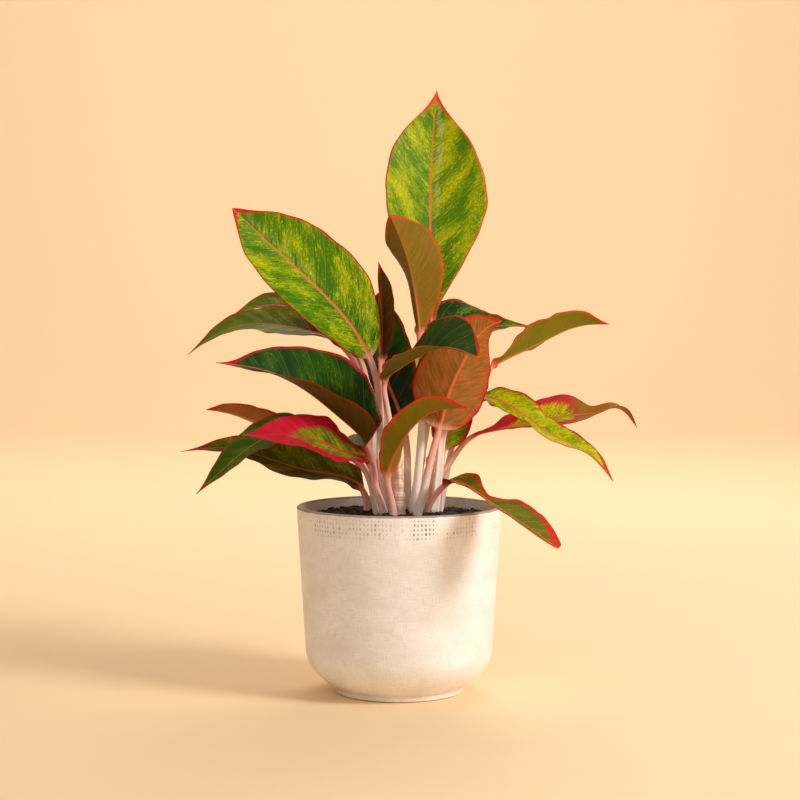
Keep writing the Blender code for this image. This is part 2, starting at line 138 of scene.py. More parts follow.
class Board:
    """A material's node tree, and one method that adds any node to it."""

    def __init__(self, name: str) -> None:
        """Start an empty material.

        Args:
            name: the material's name.
        """
        self.material = bpy.data.materials.new(name)
        self.material.use_nodes = True
        self.tree = self.material.node_tree
        self.shader = self.tree.nodes["Principled BSDF"]
        self.out = self.tree.nodes["Material Output"]

    def put(self, socket: Any, value: Any) -> None:
        """Link a Value to an input socket, or set the socket to a plain number or colour."""
        if isinstance(value, Value):
            self.tree.links.new(value.socket, socket)
        else:
            socket.default_value = value

    def node(self, kind: str, settings: dict[str, Any], sockets: dict[Any, Any], output: Any = 0) -> Value:
        """Add a node.

        Args:
            kind: the node's type.
            settings: its own settings, set first.
            sockets: a value or link for each input named.
            output: which output to hand back.

        Returns:
            The output, as a Value.
        """
        new = self.tree.nodes.new(kind)
        for key, setting in settings.items():
            setattr(new, key, setting)
        for key, value in sockets.items():
            self.put(new.inputs[key], value)
        return Value(self, new.outputs[output])

    def mix(self, share: Any, first: Any, second: Any) -> Value:
        """A colour that goes from first to second as share goes from 0 to 1."""
        return self.node("ShaderNodeMix", {"data_type": "RGBA"}, {0: share, 6: first, 7: second}, 2)

    def attribute(self, name: str) -> tuple[Value, Value, Value]:
        """The three numbers of a mesh attribute."""
        vector = self.node("ShaderNodeAttribute", {"attribute_name": name}, {}, "Vector")
        return self.split(vector)

    def split(self, vector: Value) -> tuple[Value, Value, Value]:
        """The three numbers of a vector."""
        new = self.tree.nodes.new("ShaderNodeSeparateXYZ")
        self.put(new.inputs[0], vector)
        return Value(self, new.outputs[0]), Value(self, new.outputs[1]), Value(self, new.outputs[2])

    def join(self, x: Any, y: Any, z: Any) -> Value:
        """A vector from three numbers."""
        return self.node("ShaderNodeCombineXYZ", {}, {0: x, 1: y, 2: z})

    def place(self) -> Value:
        """Object coordinates, in metres."""
        return self.node("ShaderNodeTexCoord", {}, {}, "Object")

    def stretched(self, where: Value, x: float, y: float, z: float) -> Value:
        """A place with each of its three numbers scaled."""
        return self.node("ShaderNodeMapping", {}, {"Vector": where, "Scale": (x, y, z)})

    def noise(self, where: Value, scale: float = 1.0, detail: float = 2.0, rough: float = 0.5) -> Value:
        """Soft noise about 0.5 at a place."""
        sockets = {"Vector": where, "Scale": scale, "Detail": detail, "Roughness": rough}
        return self.node("ShaderNodeTexNoise", {}, sockets)

    def cells(self, where: Value, scale: float) -> Value:
        """Distance to the nearest of scattered points, at a place."""
        return self.node("ShaderNodeTexVoronoi", {}, {"Vector": where, "Scale": scale}, "Distance")

    def relief(self, height: Value, depth_mm: float, strength: float = 1.0) -> None:
        """Feed a height (0 to 1) to the surface as a bump of depth_mm."""
        sockets = {"Strength": strength, "Distance": depth_mm * MM, "Height": height}
        self.put(self.shader.inputs["Normal"], self.node("ShaderNodeBump", {}, sockets))

    def surface(self, colour: Any, roughness: Any, **others: Any) -> None:
        """Set the main shader's colour, roughness and any other socket.

        Args:
            colour: its base colour.
            roughness: its roughness.
            others: constants for other sockets, with _ for each space in a socket's name.
        """
        self.put(self.shader.inputs["Base Color"], colour)
        self.put(self.shader.inputs["Roughness"], roughness)
        for key, value in others.items():
            self.put(self.shader.inputs[key.replace("_", " ")], value)

    def glow_through(self, share: float, colour: Sequence[float]) -> None:
        """Let some light through the surface.

        Args:
            share: how much, from 0 to 1.
            colour: the tint that it takes.
        """
        new = self.tree.nodes.new("ShaderNodeBsdfTranslucent")
        new.inputs["Color"].default_value = colour
        both = self.tree.nodes.new("ShaderNodeMixShader")
        both.inputs[0].default_value = share
        self.tree.links.new(self.shader.outputs[0], both.inputs[1])
        self.tree.links.new(new.outputs[0], both.inputs[2])
        self.tree.links.new(both.outputs[0], self.out.inputs[0])


# --- Finishes -------------------------------------------------------------------------------------


@dataclass(frozen=True)
class Glaze:
    """Cream satin glaze over stoneware that was pressed with linen.

    The weave shows faintly all over, and as brown dots where the glaze broke over it below the bare rim.
    clusters are the places where the dots are thick: millimetres round the pot from its right side, half
    width, strength. bold is where they are darkest, and its half width. The band of dots fades in over
    starts_mm and out over ends_mm below the rim.
    """

    cream: Rgba = paint(250, 245, 241)
    shade: Rgba = paint(232, 220, 210)
    clay: Rgba = paint(126, 92, 62)
    inside: Rgba = paint(176, 156, 138)
    column_mm: float = 2.5
    row_mm: float = 3.0
    rim_mm: float = 127.0
    round_mm: float = 68.0
    starts_mm: tuple = (2.2, 3.6)
    ends_mm: tuple = (19.0, 12.0)
    clusters: tuple = ((-91.0, 9.5, 0.3), (-156.0, 24.0, 0.15), (-125.0, 14.0, 0.12), (-64.0, 15.0, 0.12))
    bold: tuple = (-91.0, 11.0)

    def dots(self, board: Board, where: Value, around: Value, height: Value) -> tuple[Value, Value]:
        """The broken weave under the rim: a spot in each cell of a swaying grid, where the band is thick.

        Args:
            board: the material's nodes.
            where: the place, in metres.
            around: millimetres round the pot.
            height: millimetres above the foot.

        Returns:
            How brown the dots are, and how brown the smears between them.
        """
        sway = board.noise(board.join(around * 0.12, height * 0.12, 3.0)) * 1.6
        column = (around + sway) / self.column_mm
        row = (height + sway * 0.7) / self.row_mm
        ragged = (board.noise(where, 700.0) - 0.5) * 0.5
        across = (column.part() - 0.5).size()
        down = (row.part() - 0.5).size()
        chance = board.noise(board.join(column.whole() * 3.7, row.whole() * 5.1, 2.0), 1.0, 0.0)
        spot = (across * across * 1.25 + down * down * 0.8) ** 0.5 + ragged * 0.3 - (chance - 0.5) * 0.3
        below = self.rim_mm - height
        depth = below + (board.noise(board.join(around * 0.09, 1.0, 5.0)) - 0.5) * 8.0
        band = below.ramp(*self.starts_mm) * depth.ramp(*self.ends_mm)
        thick = board.noise(board.join(around * 0.045, height * 0.1, 7.0)) * 0.6 + chance * 0.5 + 0.05
        for centre, reach, strength in self.clusters:
            thick = thick + (around - centre).size().ramp(reach, reach * 0.5) * strength
        bold = (around - self.bold[0]).size().ramp(self.bold[1], self.bold[1] * 0.7)
        brown = spot.ramp(0.32, 0.18) * band * thick.ramp(0.55, 0.85) * (0.25 + chance * 0.5 + bold * 0.45)
        smear = board.noise(board.join(around * 0.35, height * 2.4, 6.0)).ramp(0.6, 0.72) * band
        return brown, smear

    def build(self) -> Material:
        """The glaze's material, patterned by the angle round the pot and the height on it."""
        board = Board("cream_glaze")
        where = board.place()
        x, y, z = board.split(where)
        turn = board.node("ShaderNodeMath", {"operation": "ARCTAN2"}, {0: y, 1: x})
        outside, _, _ = board.attribute("pot_side")
        height, around = z * (1.0 / MM), turn * self.round_mm
        below = self.rim_mm - height
        dots, smear = self.dots(board, where, around, height)
        warp = board.noise(board.join(around * 1.7, height * 0.16, 1.0))
        weft = board.noise(board.join(around * 0.16, height * 1.7, 2.0))
        linen = warp * 0.5 + weft * 0.5
        cloudy = board.noise(board.join(around * 0.03, height * 0.045, 1.0), 1.0, 4.0, 0.6)
        grains = board.noise(where, 1500.0)
        specks = board.cells(where, 420.0).ramp(0.16, 0.06) * board.noise(where, 150.0, 1.0).ramp(0.55, 0.7)
        colour = board.mix(cloudy.ramp(0.35, 0.7) * 0.6, self.cream, self.shade)
        colour = board.mix(linen.ramp(0.46, 0.6) * 0.6, colour, self.shade)
        colour = board.mix(specks * 0.35, colour, self.clay)
        wash = below.ramp(15.0, 1.0) * board.noise(where, 90.0, 3.0).ramp(0.3, 0.8)
        colour = board.mix(wash * 0.45, colour, self.shade)
        colour = board.mix(smear * 0.22, colour, self.clay)
        colour = board.mix(dots * 0.85, colour, self.clay)
        colour = board.mix(outside.ramp(0.6, 0.4), colour, self.inside)
        rim = (below + (board.noise(where, 200.0) - 0.5) * 1.2).ramp(1.5, 0.9)
        colour = board.mix(rim * 0.7, colour, self.clay)
        roughness = 0.4 + dots * 0.25 + rim * 0.2 + (grains - 0.5) * 0.12 + (cloudy - 0.5) * 0.1
        relief = 0.7 - dots * 0.5 + (linen - 0.5) * 0.9 + (grains - 0.5) * 0.06 + (cloudy - 0.5) * 0.3
        board.surface(colour, roughness, Specular_IOR_Level=0.42)
        board.relief(relief, 0.5, 0.7)
        return board.material


@dataclass(frozen=True)
class Peat:
    """Dark, damp peat with lighter fibres."""

    dark: Rgba = paint(30, 18, 10)
    brown: Rgba = paint(78, 49, 28)
    fibre: Rgba = paint(156, 114, 74)

    def build(self) -> Material:
        """The soil's material."""
        board = Board("dark_peat")
        where = board.place()
        clods = board.noise(where, 160.0, 5.0, 0.7)
        fine = board.noise(where, 900.0, 3.0, 0.6)
        strand = board.noise(board.stretched(where, 900.0, 160.0, 500.0))
        colour = board.mix(clods.ramp(0.35, 0.7), self.dark, self.brown)
        colour = board.mix(fine.ramp(0.6, 0.8) * 0.5, colour, self.fibre)
        colour = board.mix(strand.ramp(0.68, 0.75) * 0.6, colour, self.fibre)
        board.surface(colour, 0.85 + (fine - 0.5) * 0.2)
        board.relief(clods * 0.6 + fine * 0.4, 2.0, 0.9)
        return board.material


@dataclass(frozen=True)
class CaneSkin:
    """Pale cane skin, ringed with tan scars."""

    pale: Rgba = paint(246, 218, 196)
    pink: Rgba = paint(236, 168, 146)
    scar: Rgba = paint(196, 144, 108)

    def build(self) -> Material:
        """The canes' material; the scars follow the height."""
        board = Board("cane_skin")
        where = board.place()
        _, _, z = board.split(where)
        soft = board.noise(where, 120.0, 3.0)
        bands = ((z * (1.0 / MM) + (soft - 0.5) * 3.0) / RING_PITCH).part()
        ring = (bands - 0.5).size().ramp(0.06, 0.02)
        streak = board.noise(board.stretched(where, 700.0, 700.0, 60.0), 1.0, 3.0)
        colour = board.mix(streak.ramp(0.4, 0.7), self.pale, self.pink)
        colour = board.mix(ring * 0.25, colour, self.scar)
        board.surface(colour, 0.45 + (soft - 0.5) * 0.2)
        board.relief(0.5 - ring * 0.4 + streak * 0.2, 0.5, 0.6)
        return board.material


@dataclass(frozen=True)
class LeafMap:
    """Where a point lies on its leaf, in millimetres, and the patterns there, each about 0 to 1.

    along is from the blade's base, away from the midrib, edge from the margin and from_vein from a side vein.
    share is the share of the blade's length, and upper is 1 on the upper face and 0 on the under side.
    """

    along: Value
    across: Value
    away: Value
    edge: Value
    from_vein: Value
    share: Value
    face: Value
    upper: Value
    grain: Value
    dust: Value
    streaks: Value
    patches: Value
    vein: Value
    minor: Value

    @property
    def spread(self) -> Value:
        """What the mottle follows: patches, streaks along the side veins, and dust."""
        return self.patches * 0.4 + self.streaks * 0.25 + self.dust * 0.35


@dataclass(frozen=True)
class LeafFinish:
    """A leaf's colours and how they are laid out.

    seed moves the pattern. mottle is how far the yellow spreads (0 to 1), red how far the margin's red goes
    in and flush how far the under side's does, in millimetres; darkness deepens the green, above all towards
    the base by base_dark; warmth turns the under side from olive to copper; tip is where along the blade the
    red starts to close in, and painted_sheen how strong the painted highlight beside the midrib is, a pale
    streak that stands in for light reflected off the leaf; faded_tip turns the far third olive.
    """

    seed: float
    green: Rgba = paint(66, 112, 4)
    dark: Rgba = paint(22, 60, 10)
    lime: Rgba = paint(134, 158, 4)
    yellow: Rgba = paint(214, 200, 22)
    margin: Rgba = paint(200, 30, 24)
    rib: Rgba = paint(220, 112, 66)
    # Painted highlight colour: the pale streak beside the midrib stands in for light reflected off the leaf
    pale: Rgba = paint(176, 182, 138)
    under: Rgba = paint(112, 92, 8)
    under_warm: Rgba = paint(168, 88, 24)
    stalk_low: Rgba = paint(255, 242, 230)
    stalk_high: Rgba = paint(248, 166, 142)
    light_through: Rgba = paint(190, 160, 20)
    mottle: float = 0.5
    darkness: float = 0.3
    base_dark: float = 0.3
    warmth: float = 0.3
    red: float = 0.7
    flush: float = 0.8
    tip: float = 0.86
    # How strong the painted highlight beside the midrib is; 0 leaves it out
    painted_sheen: float = 0.0
    faded_tip: float = 0.0
    gloss: float = 0.45
    vein_mm: float = 11.0

    def layout(self, board: Board) -> LeafMap:
        """Read the leaf's attributes and lay the patterns out along the side veins.

        Args:
            board: the material's nodes.

        Returns:
            The place on the leaf and the patterns there.
        """
        along, across, half = board.attribute("leaf_mm")
        share, _, face = board.attribute("leaf_share")
        away, side = across.size(), across.sign()
        edge = half - away
        row = along - away * VEIN_SLANT - away * away * VEIN_CURVE
        layer = side * 4.0 + self.seed * 31.0
        patches = board.noise(board.join(row * 0.055, away * 0.06, layer + 5.0))
        phase = (row + (patches - 0.5) * 2.0) / self.vein_mm + side * VEIN_SHIFT + self.seed
        from_vein = (phase.part() - 0.5).size() * self.vein_mm
        inward = away.ramp(0.5, 3.0) * edge.ramp(0.3, 4.0)
        return LeafMap(
            along=along,
            across=across,
            away=away,
            edge=edge,
            from_vein=from_vein,
            share=share,
            face=face,
            upper=face.ramp(-0.12, 0.12),
            grain=board.noise(board.join(along * 1.1, across * 1.1, layer), 1.0, 3.0, 0.75),
            dust=board.noise(board.join(row * 1.15, away * 0.6, layer + 9.0), 1.0, 3.0, 0.75),
            streaks=board.noise(board.join(row * 0.6, away * 0.13, layer + 3.0), 1.0, 3.0, 0.6),
            patches=patches,
            vein=from_vein.ramp(0.6, 0.1) * inward,
            minor=((phase * 5.0).part() - 0.5).size().ramp(0.16, 0.03) * inward,
        )

    def upper_side(self, board: Board, at: LeafMap) -> Value:
        """The upper face: green, then shadow, lime wash, yellow spots, veins and a painted highlight."""
        level = 0.63 - 0.2 * self.mottle
        wash = (at.spread + (at.grain - 0.5) * 0.12).ramp(level - 0.07, level + 0.04)
        spots = (at.spread * 0.55 + at.dust * 0.27 + at.grain * 0.18).ramp(level, level + 0.05)
        shadow = (at.patches * 0.6 + at.streaks * 0.4).ramp(0.6, 0.38)
        deep = shadow * self.darkness + at.share.ramp(0.55, 0.05) * self.base_dark
        colour = board.mix(deep, self.green, self.dark)
        colour = board.mix(wash * (0.3 + 0.6 * self.mottle), colour, self.lime)
        colour = board.mix(spots * (0.45 + 0.5 * self.mottle), colour, self.yellow)
        colour = board.mix(at.vein * 0.4, colour, self.lime)
        colour = board.mix(at.minor * 0.15, colour, self.lime)
        if not self.painted_sheen:
            return colour
        # Painted highlight: a pale streak beside the midrib stands in for light reflected off the leaf's
        # curve
        sheen = (at.across - 3.0 - (at.patches - 0.4) * 12.0).size().ramp(2.6, 0.3)
        sheen = sheen * at.share.ramp(0.3, 0.6) * at.streaks.ramp(0.36, 0.6)
        return board.mix(sheen * self.painted_sheen, colour, self.pale)

    def under_side(self, board: Board, at: LeafMap) -> Value:
        """The under side: olive to copper, green showing through, veins and a red flush at the margin."""
        tint = at.streaks.ramp(0.3, 0.7) * 0.6 + self.warmth - 0.3 + (at.grain - 0.5) * 0.5
        colour = board.mix(tint.ramp(0.0, 1.0), self.under, self.under_warm)
        colour = board.mix((at.spread + (at.grain - 0.5) * 0.5).ramp(0.5, 0.7) * 0.45, colour, self.green)
        colour = board.mix(at.vein * 0.16, colour, self.rib)
        flush = (at.edge + (at.patches - 0.5) * 6.0).ramp(self.flush + 1.2, 0.0)
        return board.mix(flush * 0.65, colour, self.margin)

    def reds(self, board: Board, at: LeafMap, colour: Value) -> Value:
        """Add the ragged red margin, red flecks near it, the faded tip and the midrib to a colour."""
        ragged = (at.grain - 0.5) * (1.6 + self.red * 0.5) + (at.streaks - 0.5) * (0.8 + self.red * 1.2)
        reach = at.edge + ragged + (at.patches - 0.5) * self.red * 1.5
        reach = reach - at.share.ramp(self.tip, 1.0) * (1.5 + self.red * 1.5)
        colour = board.mix(reach.ramp(self.red * 1.15 + 0.7, self.red * 0.7) * 0.95, colour, self.margin)
        fleck = (at.dust * 0.6 + at.grain * 0.4).ramp(0.62, 0.68) * at.edge.ramp(9.0, 1.0)
        colour = board.mix(fleck * at.patches.ramp(0.45, 0.6) * 0.7, colour, self.margin)
        if self.faded_tip:
            faded = at.share.ramp(0.56, 0.66) * at.edge.ramp(0.6, 1.2) * self.faded_tip
            colour = board.mix(faded, colour, self.under)
        rib = (at.away - (1.35 - at.share)).ramp(0.3, -0.3)
        return board.mix(rib * (0.95 - at.share * 0.25), colour, self.rib)

    def build(self, name: str) -> Material:
        """The leaf's material.

        Args:
            name: the leaf's name.

        Returns:
            A material that reads the attributes leaf_mm (millimetres along the blade, across it and to the
            margin) and leaf_share (share of the blade's length and of its half width, upper or lower face).
        """
        board = Board(f"{name}_skin")
        at = self.layout(board)
        blade = board.mix(at.upper, self.under_side(board, at), self.upper_side(board, at))
        blade = self.reds(board, at, blade)
        layer = at.face + self.seed * 17.0
        streak = board.noise(board.join(at.along * 0.03, at.across * 0.9, layer), 1.0, 3.0)
        blush = at.along.ramp(-62.0, 4.0) * 0.8 + (streak - 0.42) * 1.1
        stalk = board.mix(blush.ramp(0.0, 1.0), self.stalk_low, self.stalk_high)
        colour = board.mix((at.along + (streak - 0.5) * 6.0).ramp(-1.0, 6.0), stalk, blade)
        rough = self.gloss + (at.grain - 0.5) * 0.14 + (1.0 - at.upper) * 0.1 + at.vein * 0.05
        quilt = at.from_vein.ramp(0.0, self.vein_mm * 0.45) * 0.4
        relief = 0.5 + quilt - at.vein * 0.2 - at.minor * 0.08 + (at.grain - 0.5) * 0.1
        board.surface(colour, rough, Specular_IOR_Level=0.11)
        board.relief(relief, 0.45, 0.5)
        board.glow_through(0.1, self.light_through)
        return board.material


# --- Meshes ---------------------------------------------------------------------------------------


def add_piece(name: str, points: Array, faces: list, material: Material) -> Piece:
    """Make a smooth-shaded piece of the object.

    Args:
        name: the piece's name.
        points: its corners in millimetres, as (n, 3).
        faces: the corners of each face.
        material: its finish.

    Returns:
        The piece, riding on the object's one body.
    """
    mesh = bpy.data.meshes.new(name)
    mesh.from_pydata((points * MM).tolist(), [], faces)
    mesh.polygons.foreach_set("use_smooth", np.ones(len(mesh.polygons), dtype=bool))
    mesh.materials.append(material)
    mesh.validate()
    piece = bpy.data.objects.new(name, mesh)
    bpy.context.scene.collection.objects.link(piece)
    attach(piece, "root")
    log.info("%s: %d faces", name, len(mesh.polygons))
    return piece


def add_attribute(piece: Piece, name: str, values: Array) -> None:
    """Give a piece three numbers at each point, as (n, 3), under a name that its material reads."""
    layer = piece.data.attributes.new(name, "FLOAT_VECTOR", "POINT")
    layer.data.foreach_set("vector", values.astype(np.float32).ravel())


def grid_faces(rows: int, columns: int) -> Array:
    """Quads of a grid that closes on itself round each row: (i, k), (i, k+1), (i+1, k+1), (i+1, k)."""
    i, k = np.meshgrid(np.arange(rows - 1), np.arange(columns), indexing="ij")
    low, high, after = i * columns, (i + 1) * columns, (k + 1) % columns
    return np.stack([low + k, low + after, high + after, high + k], axis=-1).reshape(-1, 4)


def fans(rows: int, columns: int) -> list:
    """Triangles from the two points that follow a grid's own to its first row and to its last."""
    k = np.arange(columns)
    after, last, low = (k + 1) % columns, (rows - 1) * columns, rows * columns
    first = np.stack([np.full(columns, low), after, k], axis=1)
    return first.tolist() + np.stack([np.full(columns, low + 1), last + k, last + after], axis=1).tolist()


def circle(around: int) -> tuple[Array, Array]:
    """Evenly spaced angles round a circle, and their cosines and sines as (around, 2)."""
    angle = 2.0 * math.pi * np.arange(around) / around
    return angle, np.stack([np.cos(angle), np.sin(angle)], axis=1)


def turned(profile: Array, around: int) -> tuple[Array, list]:
    """A closed solid turned round the upright axis.

    Each point is (radius cos a, radius sin a, height) for every profile point and every angle a.

    Args:
        profile: radius and height from the axis below to the axis above, as (n, 2).
        around: how many points go round.

    Returns:
        Points and faces; each end on the axis closes in a fan of triangles.
    """
    body = profile[1:-1]
    points = np.empty((len(body), around, 3))
    points[..., :2] = body[:, None, :1] * circle(around)[1][None]
    points[..., 2] = body[:, 1:2]
    ends = np.array([[0.0, 0.0, profile[0, 1]], [0.0, 0.0, profile[-1, 1]]])
    faces = grid_faces(len(body), around).tolist() + fans(len(body), around)
    return np.concatenate([points.reshape(-1, 3), ends]), faces


def spline(points: Array, samples: Array) -> Array:
    """Points on the natural cubic spline through points.

    Between two knots a point is a weighted sum of them plus the two bends times cubic weights.

    Args:
        points: the knots, as (n, 3).
        samples: where to read the curve, as shares of its chord length.

    Returns:
        The curve at the samples.
    """
    steps = np.linalg.norm(np.diff(points, axis=0), axis=1)
    knots = np.concatenate([[0.0], np.cumsum(steps)])
    n = len(points)
    matrix, right = np.eye(n), np.zeros_like(points)
    inside = np.arange(1, n - 1)
    matrix[inside, inside - 1] = steps[:-1]
    matrix[inside, inside] = 2.0 * (steps[:-1] + steps[1:])
    matrix[inside, inside + 1] = steps[1:]
    slopes = np.diff(points, axis=0) / steps[:, None]
    right[1:-1] = 6.0 * np.diff(slopes, axis=0)
    bend = np.linalg.solve(matrix, right)
    at = samples * knots[-1]
    i = np.clip(np.searchsorted(knots, at, side="right") - 1, 0, n - 2)
    h = steps[i][:, None]
    b = (at - knots[i])[:, None] / h
    a = 1.0 - b
    return a * points[i] + b * points[i + 1] + ((a**3 - a) * bend[i] + (b**3 - b) * bend[i + 1]) * h**2 / 6.0


def through_three(values: Sequence, t: Array) -> Array:
    """The parabola in t through three values, at t = 0, 0.5 and 1."""
    first, middle, last = (np.asarray(v, float) for v in values)
    t = t[:, None] if first.ndim else t
    return first * (1 - t) * (1 - 2 * t) + middle * 4 * t * (1 - t) + last * t * (2 * t - 1)


def unit(vectors: Array) -> Array:
    """Vectors scaled to length 1."""
    return vectors / np.linalg.norm(vectors, axis=-1, keepdims=True)


def step(t: Array, low: float, high: float) -> Array:
    """0 at low, 1 at high, and 3u^2 - 2u^3 between them; low above high turns it round."""
    u = np.clip((t - low) / (high - low), 0.0, 1.0)
    return u * u * (3.0 - 2.0 * u)


def jitter(x: Array, y: Array, seed: float) -> Array:
    """A fixed, random-looking number from 0 to 1 for each pair of whole numbers: a large sine's fraction."""
    mixed = np.sin(x * 127.1 + y * 311.7 + seed * 74.7) * 43758.5453
    return mixed - np.floor(mixed)


def lumps(x: Array, y: Array, seed: float) -> Array:
    """Smooth lumps from 0 to 1: each unit square's corner numbers, blended by 3u^2 - 2u^3 both ways."""
    x0, y0 = np.floor(x), np.floor(y)
    u, v = step(x - x0, 0.0, 1.0), step(y - y0, 0.0, 1.0)
    low = jitter(x0, y0, seed) * (1 - u) + jitter(x0 + 1, y0, seed) * u
    high = jitter(x0, y0 + 1, seed) * (1 - u) + jitter(x0 + 1, y0 + 1, seed) * u
    return low * (1 - v) + high * v


# --- The pot, its soil and the canes --------------------------------------------------------------


@dataclass
class Pot:
    """The cachepot: a rounded corner above a small foot, a straight taper and a soft rim."""

    rim_radius: float = 70.0
    height: float = 127.0
    wall: float = 4.0
    belly_radius: float = 64.0
    belly_height: float = 30.0
    corner: float = 1.7
    foot_radius: float = 44.0
    foot_height: float = 4.0
    foot_step: float = 1.2
    base: float = 7.0
    rim_round: float = 1.6
    out_of_true: float = 0.12
    rim_steps: int = 8
    wall_steps: int = 39
    glazed_rings: int = 10
    around: int = 288
    finish: Glaze = Glaze()

    def corner_arc(self, start: float, floor: float, steps: int) -> Array:
        """The corner from its bottom to the taper: radius sin^corner a out, height 1 - cos a up."""
        angle = 0.5 * math.pi * np.arange(1, steps + 1) / steps
        out = start + (self.belly_radius - self.foot_radius) * np.sin(angle) ** self.corner
        return np.stack([out, floor + (self.belly_height - floor) * (1.0 - np.cos(angle))], axis=1)

    def outside(self) -> Array:
        """The section from the axis up the outside to the start of the rim."""
        foot = self.foot_radius
        under = [(0, 0), (20, 0.25), (foot - 5, 0.25), (foot - 4, 0), (foot - 1, 0), (foot - 0.2, 0.4)]
        ring = np.array(under + [(foot, self.foot_step), (foot, self.foot_height)], float)
        low, high = self.taper()
        wall = low + (high - low) * np.linspace(0.0, 1.0, self.wall_steps + 1)[1:, None]
        return np.concatenate([ring, self.corner_arc(foot, self.foot_height, 24), wall])

    def taper(self) -> tuple[Array, Array]:
        """The two ends of the straight outer wall."""
        low, high = (self.belly_radius, self.belly_height), (self.rim_radius, self.height - self.rim_round)
        return np.array(low), np.array(high)

    def inside(self) -> Array:
        """The section over the rim, two quarter circles, and down the inside to the axis."""
        turn = np.linspace(0.0, 1.0, self.rim_steps + 1)[1:, None] * math.pi / 2
        over = np.concatenate([np.cos(turn), np.sin(turn)], axis=1)
        down = np.concatenate([-np.sin(turn), np.cos(turn)], axis=1)
        outer = np.array([self.rim_radius - self.rim_round, self.height - self.rim_round])
        inner = outer - np.array([self.wall - 2 * self.rim_round, 0.0])
        rim = [outer + self.rim_round * over, inner + self.rim_round * down]
        low, high = self.taper()
        share = 1.0 - np.linspace(0.0, 1.0, self.wall_steps + 1)[1:, None]
        wall = low + (high - low) * share - np.array([self.wall, 0.0])
        bowl = self.corner_arc(self.foot_radius - self.wall, self.base, 18)[::-1]
        return np.concatenate(rim + [wall, bowl[1:], np.array([[20.0, self.base], [0.0, self.base]])])

    def build(self) -> Piece:
        """The pot, thrown a little out of true, less so at the foot.

        The radius grows by out_of_true times a wave round the pot and a slow wave up it.

        Returns:
            The pot, with the attribute pot_side at 1 where it is glazed and 0 on the bare clay deep inside.
        """
        outside, inside = self.outside(), self.inside()
        points, faces = turned(np.concatenate([outside, inside]), self.around)
        angle = np.arctan2(points[:, 1], points[:, 0])
        up = points[:, 2] / self.height
        wave = 0.7 * np.sin(3.0 * angle + 2.0 * up) + 0.5 * np.sin(7.0 * angle - 5.0 * up + 1.0) - 1.0
        radius = np.maximum(np.hypot(points[:, 0], points[:, 1]), 1e-6)
        push = self.out_of_true * wave * step(up, 0.05, 0.4) * (radius > 30.0)
        points[:, :2] *= (1.0 + push / radius)[:, None]
        piece = add_piece("cachepot", points, faces, self.finish.build())
        glazed = len(outside) - 1 + 2 * self.rim_steps + self.glazed_rings
        side = np.zeros((len(points), 3))
        side[: glazed * self.around, 0] = 1.0
        side[-2, 0] = 1.0
        add_attribute(piece, "pot_side", side)
        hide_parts("pot")
        return piece


@dataclass
class Soil:
    """The peat in the pot, mounded round the shoots, and the crumbs and bark lying on it."""

    edge: float = 118.4
    mound: float = 1.6
    spread: float = 34.0
    centre: tuple = (2.0, 2.0)
    radius: float = 65.0
    depth: float = 14.0
    rings: int = 90
    around: int = 260
    crumbs: int = 900
    finish: Peat = Peat()

    def top(self, x: Array, y: Array) -> Array:
        """Height at a place: a mound, plus three sizes of lumps that fade out at the wall."""
        away = np.hypot(x - self.centre[0], y - self.centre[1])
        mound = self.mound * np.exp(-((away / self.spread) ** 4))
        rough = 2.6 * lumps(x / 8.0, y / 8.0, 1.0) + 1.5 * lumps(x / 2.9, y / 2.9, 2.0)
        rough = rough + lumps(x / 1.2, y / 1.2, 3.0)
        return self.edge + mound - 0.4 + rough * step(np.hypot(x, y), self.radius, self.radius - 6.0)

    def build(self) -> Piece:
        """The soil as a closed disc with a fine, lumpy top."""
        radii = np.concatenate([[0.0, 30.0, 58.0, self.radius], np.linspace(self.radius, 0.0, self.rings)])
        heights = np.concatenate([np.full(4, self.edge - self.depth), np.full(self.rings, self.edge)])
        points, faces = turned(np.stack([radii, heights], axis=1), self.around)
        upper = points[:, 2] > self.edge - 1.0
        points[upper, 2] = self.top(points[upper, 0], points[upper, 1])
        piece = add_piece("peat", points, faces, self.finish.build())
        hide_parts("potting_soil")
        return piece

    def ball(self, rows: int = 5, columns: int = 8) -> tuple[Array, list]:
        """A coarse ball of radius 1: the points (cos u cos v, cos u sin v, sin u), and its faces."""
        up = np.linspace(-0.5, 0.5, rows + 2)[1:-1] * math.pi
        flat = circle(columns)[1][None] * np.cos(up)[:, None, None]
        level = np.broadcast_to(np.sin(up)[:, None, None], (rows, columns, 1))
        points = np.concatenate([flat, level], axis=-1).reshape(-1, 3)
        faces = grid_faces(rows, columns).tolist() + fans(rows, columns)
        return np.concatenate([points, [[0, 0, -1], [0, 0, 1]]]), faces

    def scatter(self) -> Piece:
        """Crumbs and bark on the soil: squashed balls of many sizes, each turned its own way."""
        rng = np.random.default_rng(7)
        place = self.radius * 0.94 * np.sqrt(rng.random(self.crumbs))
        turn = rng.random(self.crumbs) * 2 * math.pi
        x, y = place * np.cos(turn), place * np.sin(turn)
        size = 0.45 + 1.2 * rng.random(self.crumbs) ** 3
        shape = np.stack([size * (1 + 1.6 * rng.random(self.crumbs)), size, size * 0.6], axis=1)
        ball, one = self.ball()
        rough = 1.0 + 0.3 * (rng.random((self.crumbs, len(ball), 1)) - 0.5)
        points = ball[None] * shape[:, None] * rough
        spin = rng.random(self.crumbs) * 2 * math.pi
        c, s = np.cos(spin)[:, None], np.sin(spin)[:, None]
        east, north = points[..., 0], points[..., 1]
        points[..., :2] = np.stack([c * east - s * north, s * east + c * north], -1)
        centre = np.stack([x, y, self.top(x, y) + 0.3 * size], axis=1)
        faces = [[corner + len(ball) * i for corner in face] for i in range(self.crumbs) for face in one]
        points = (points + centre[:, None]).reshape(-1, 3)
        return add_piece("peat_crumbs", points, faces, self.finish.build())


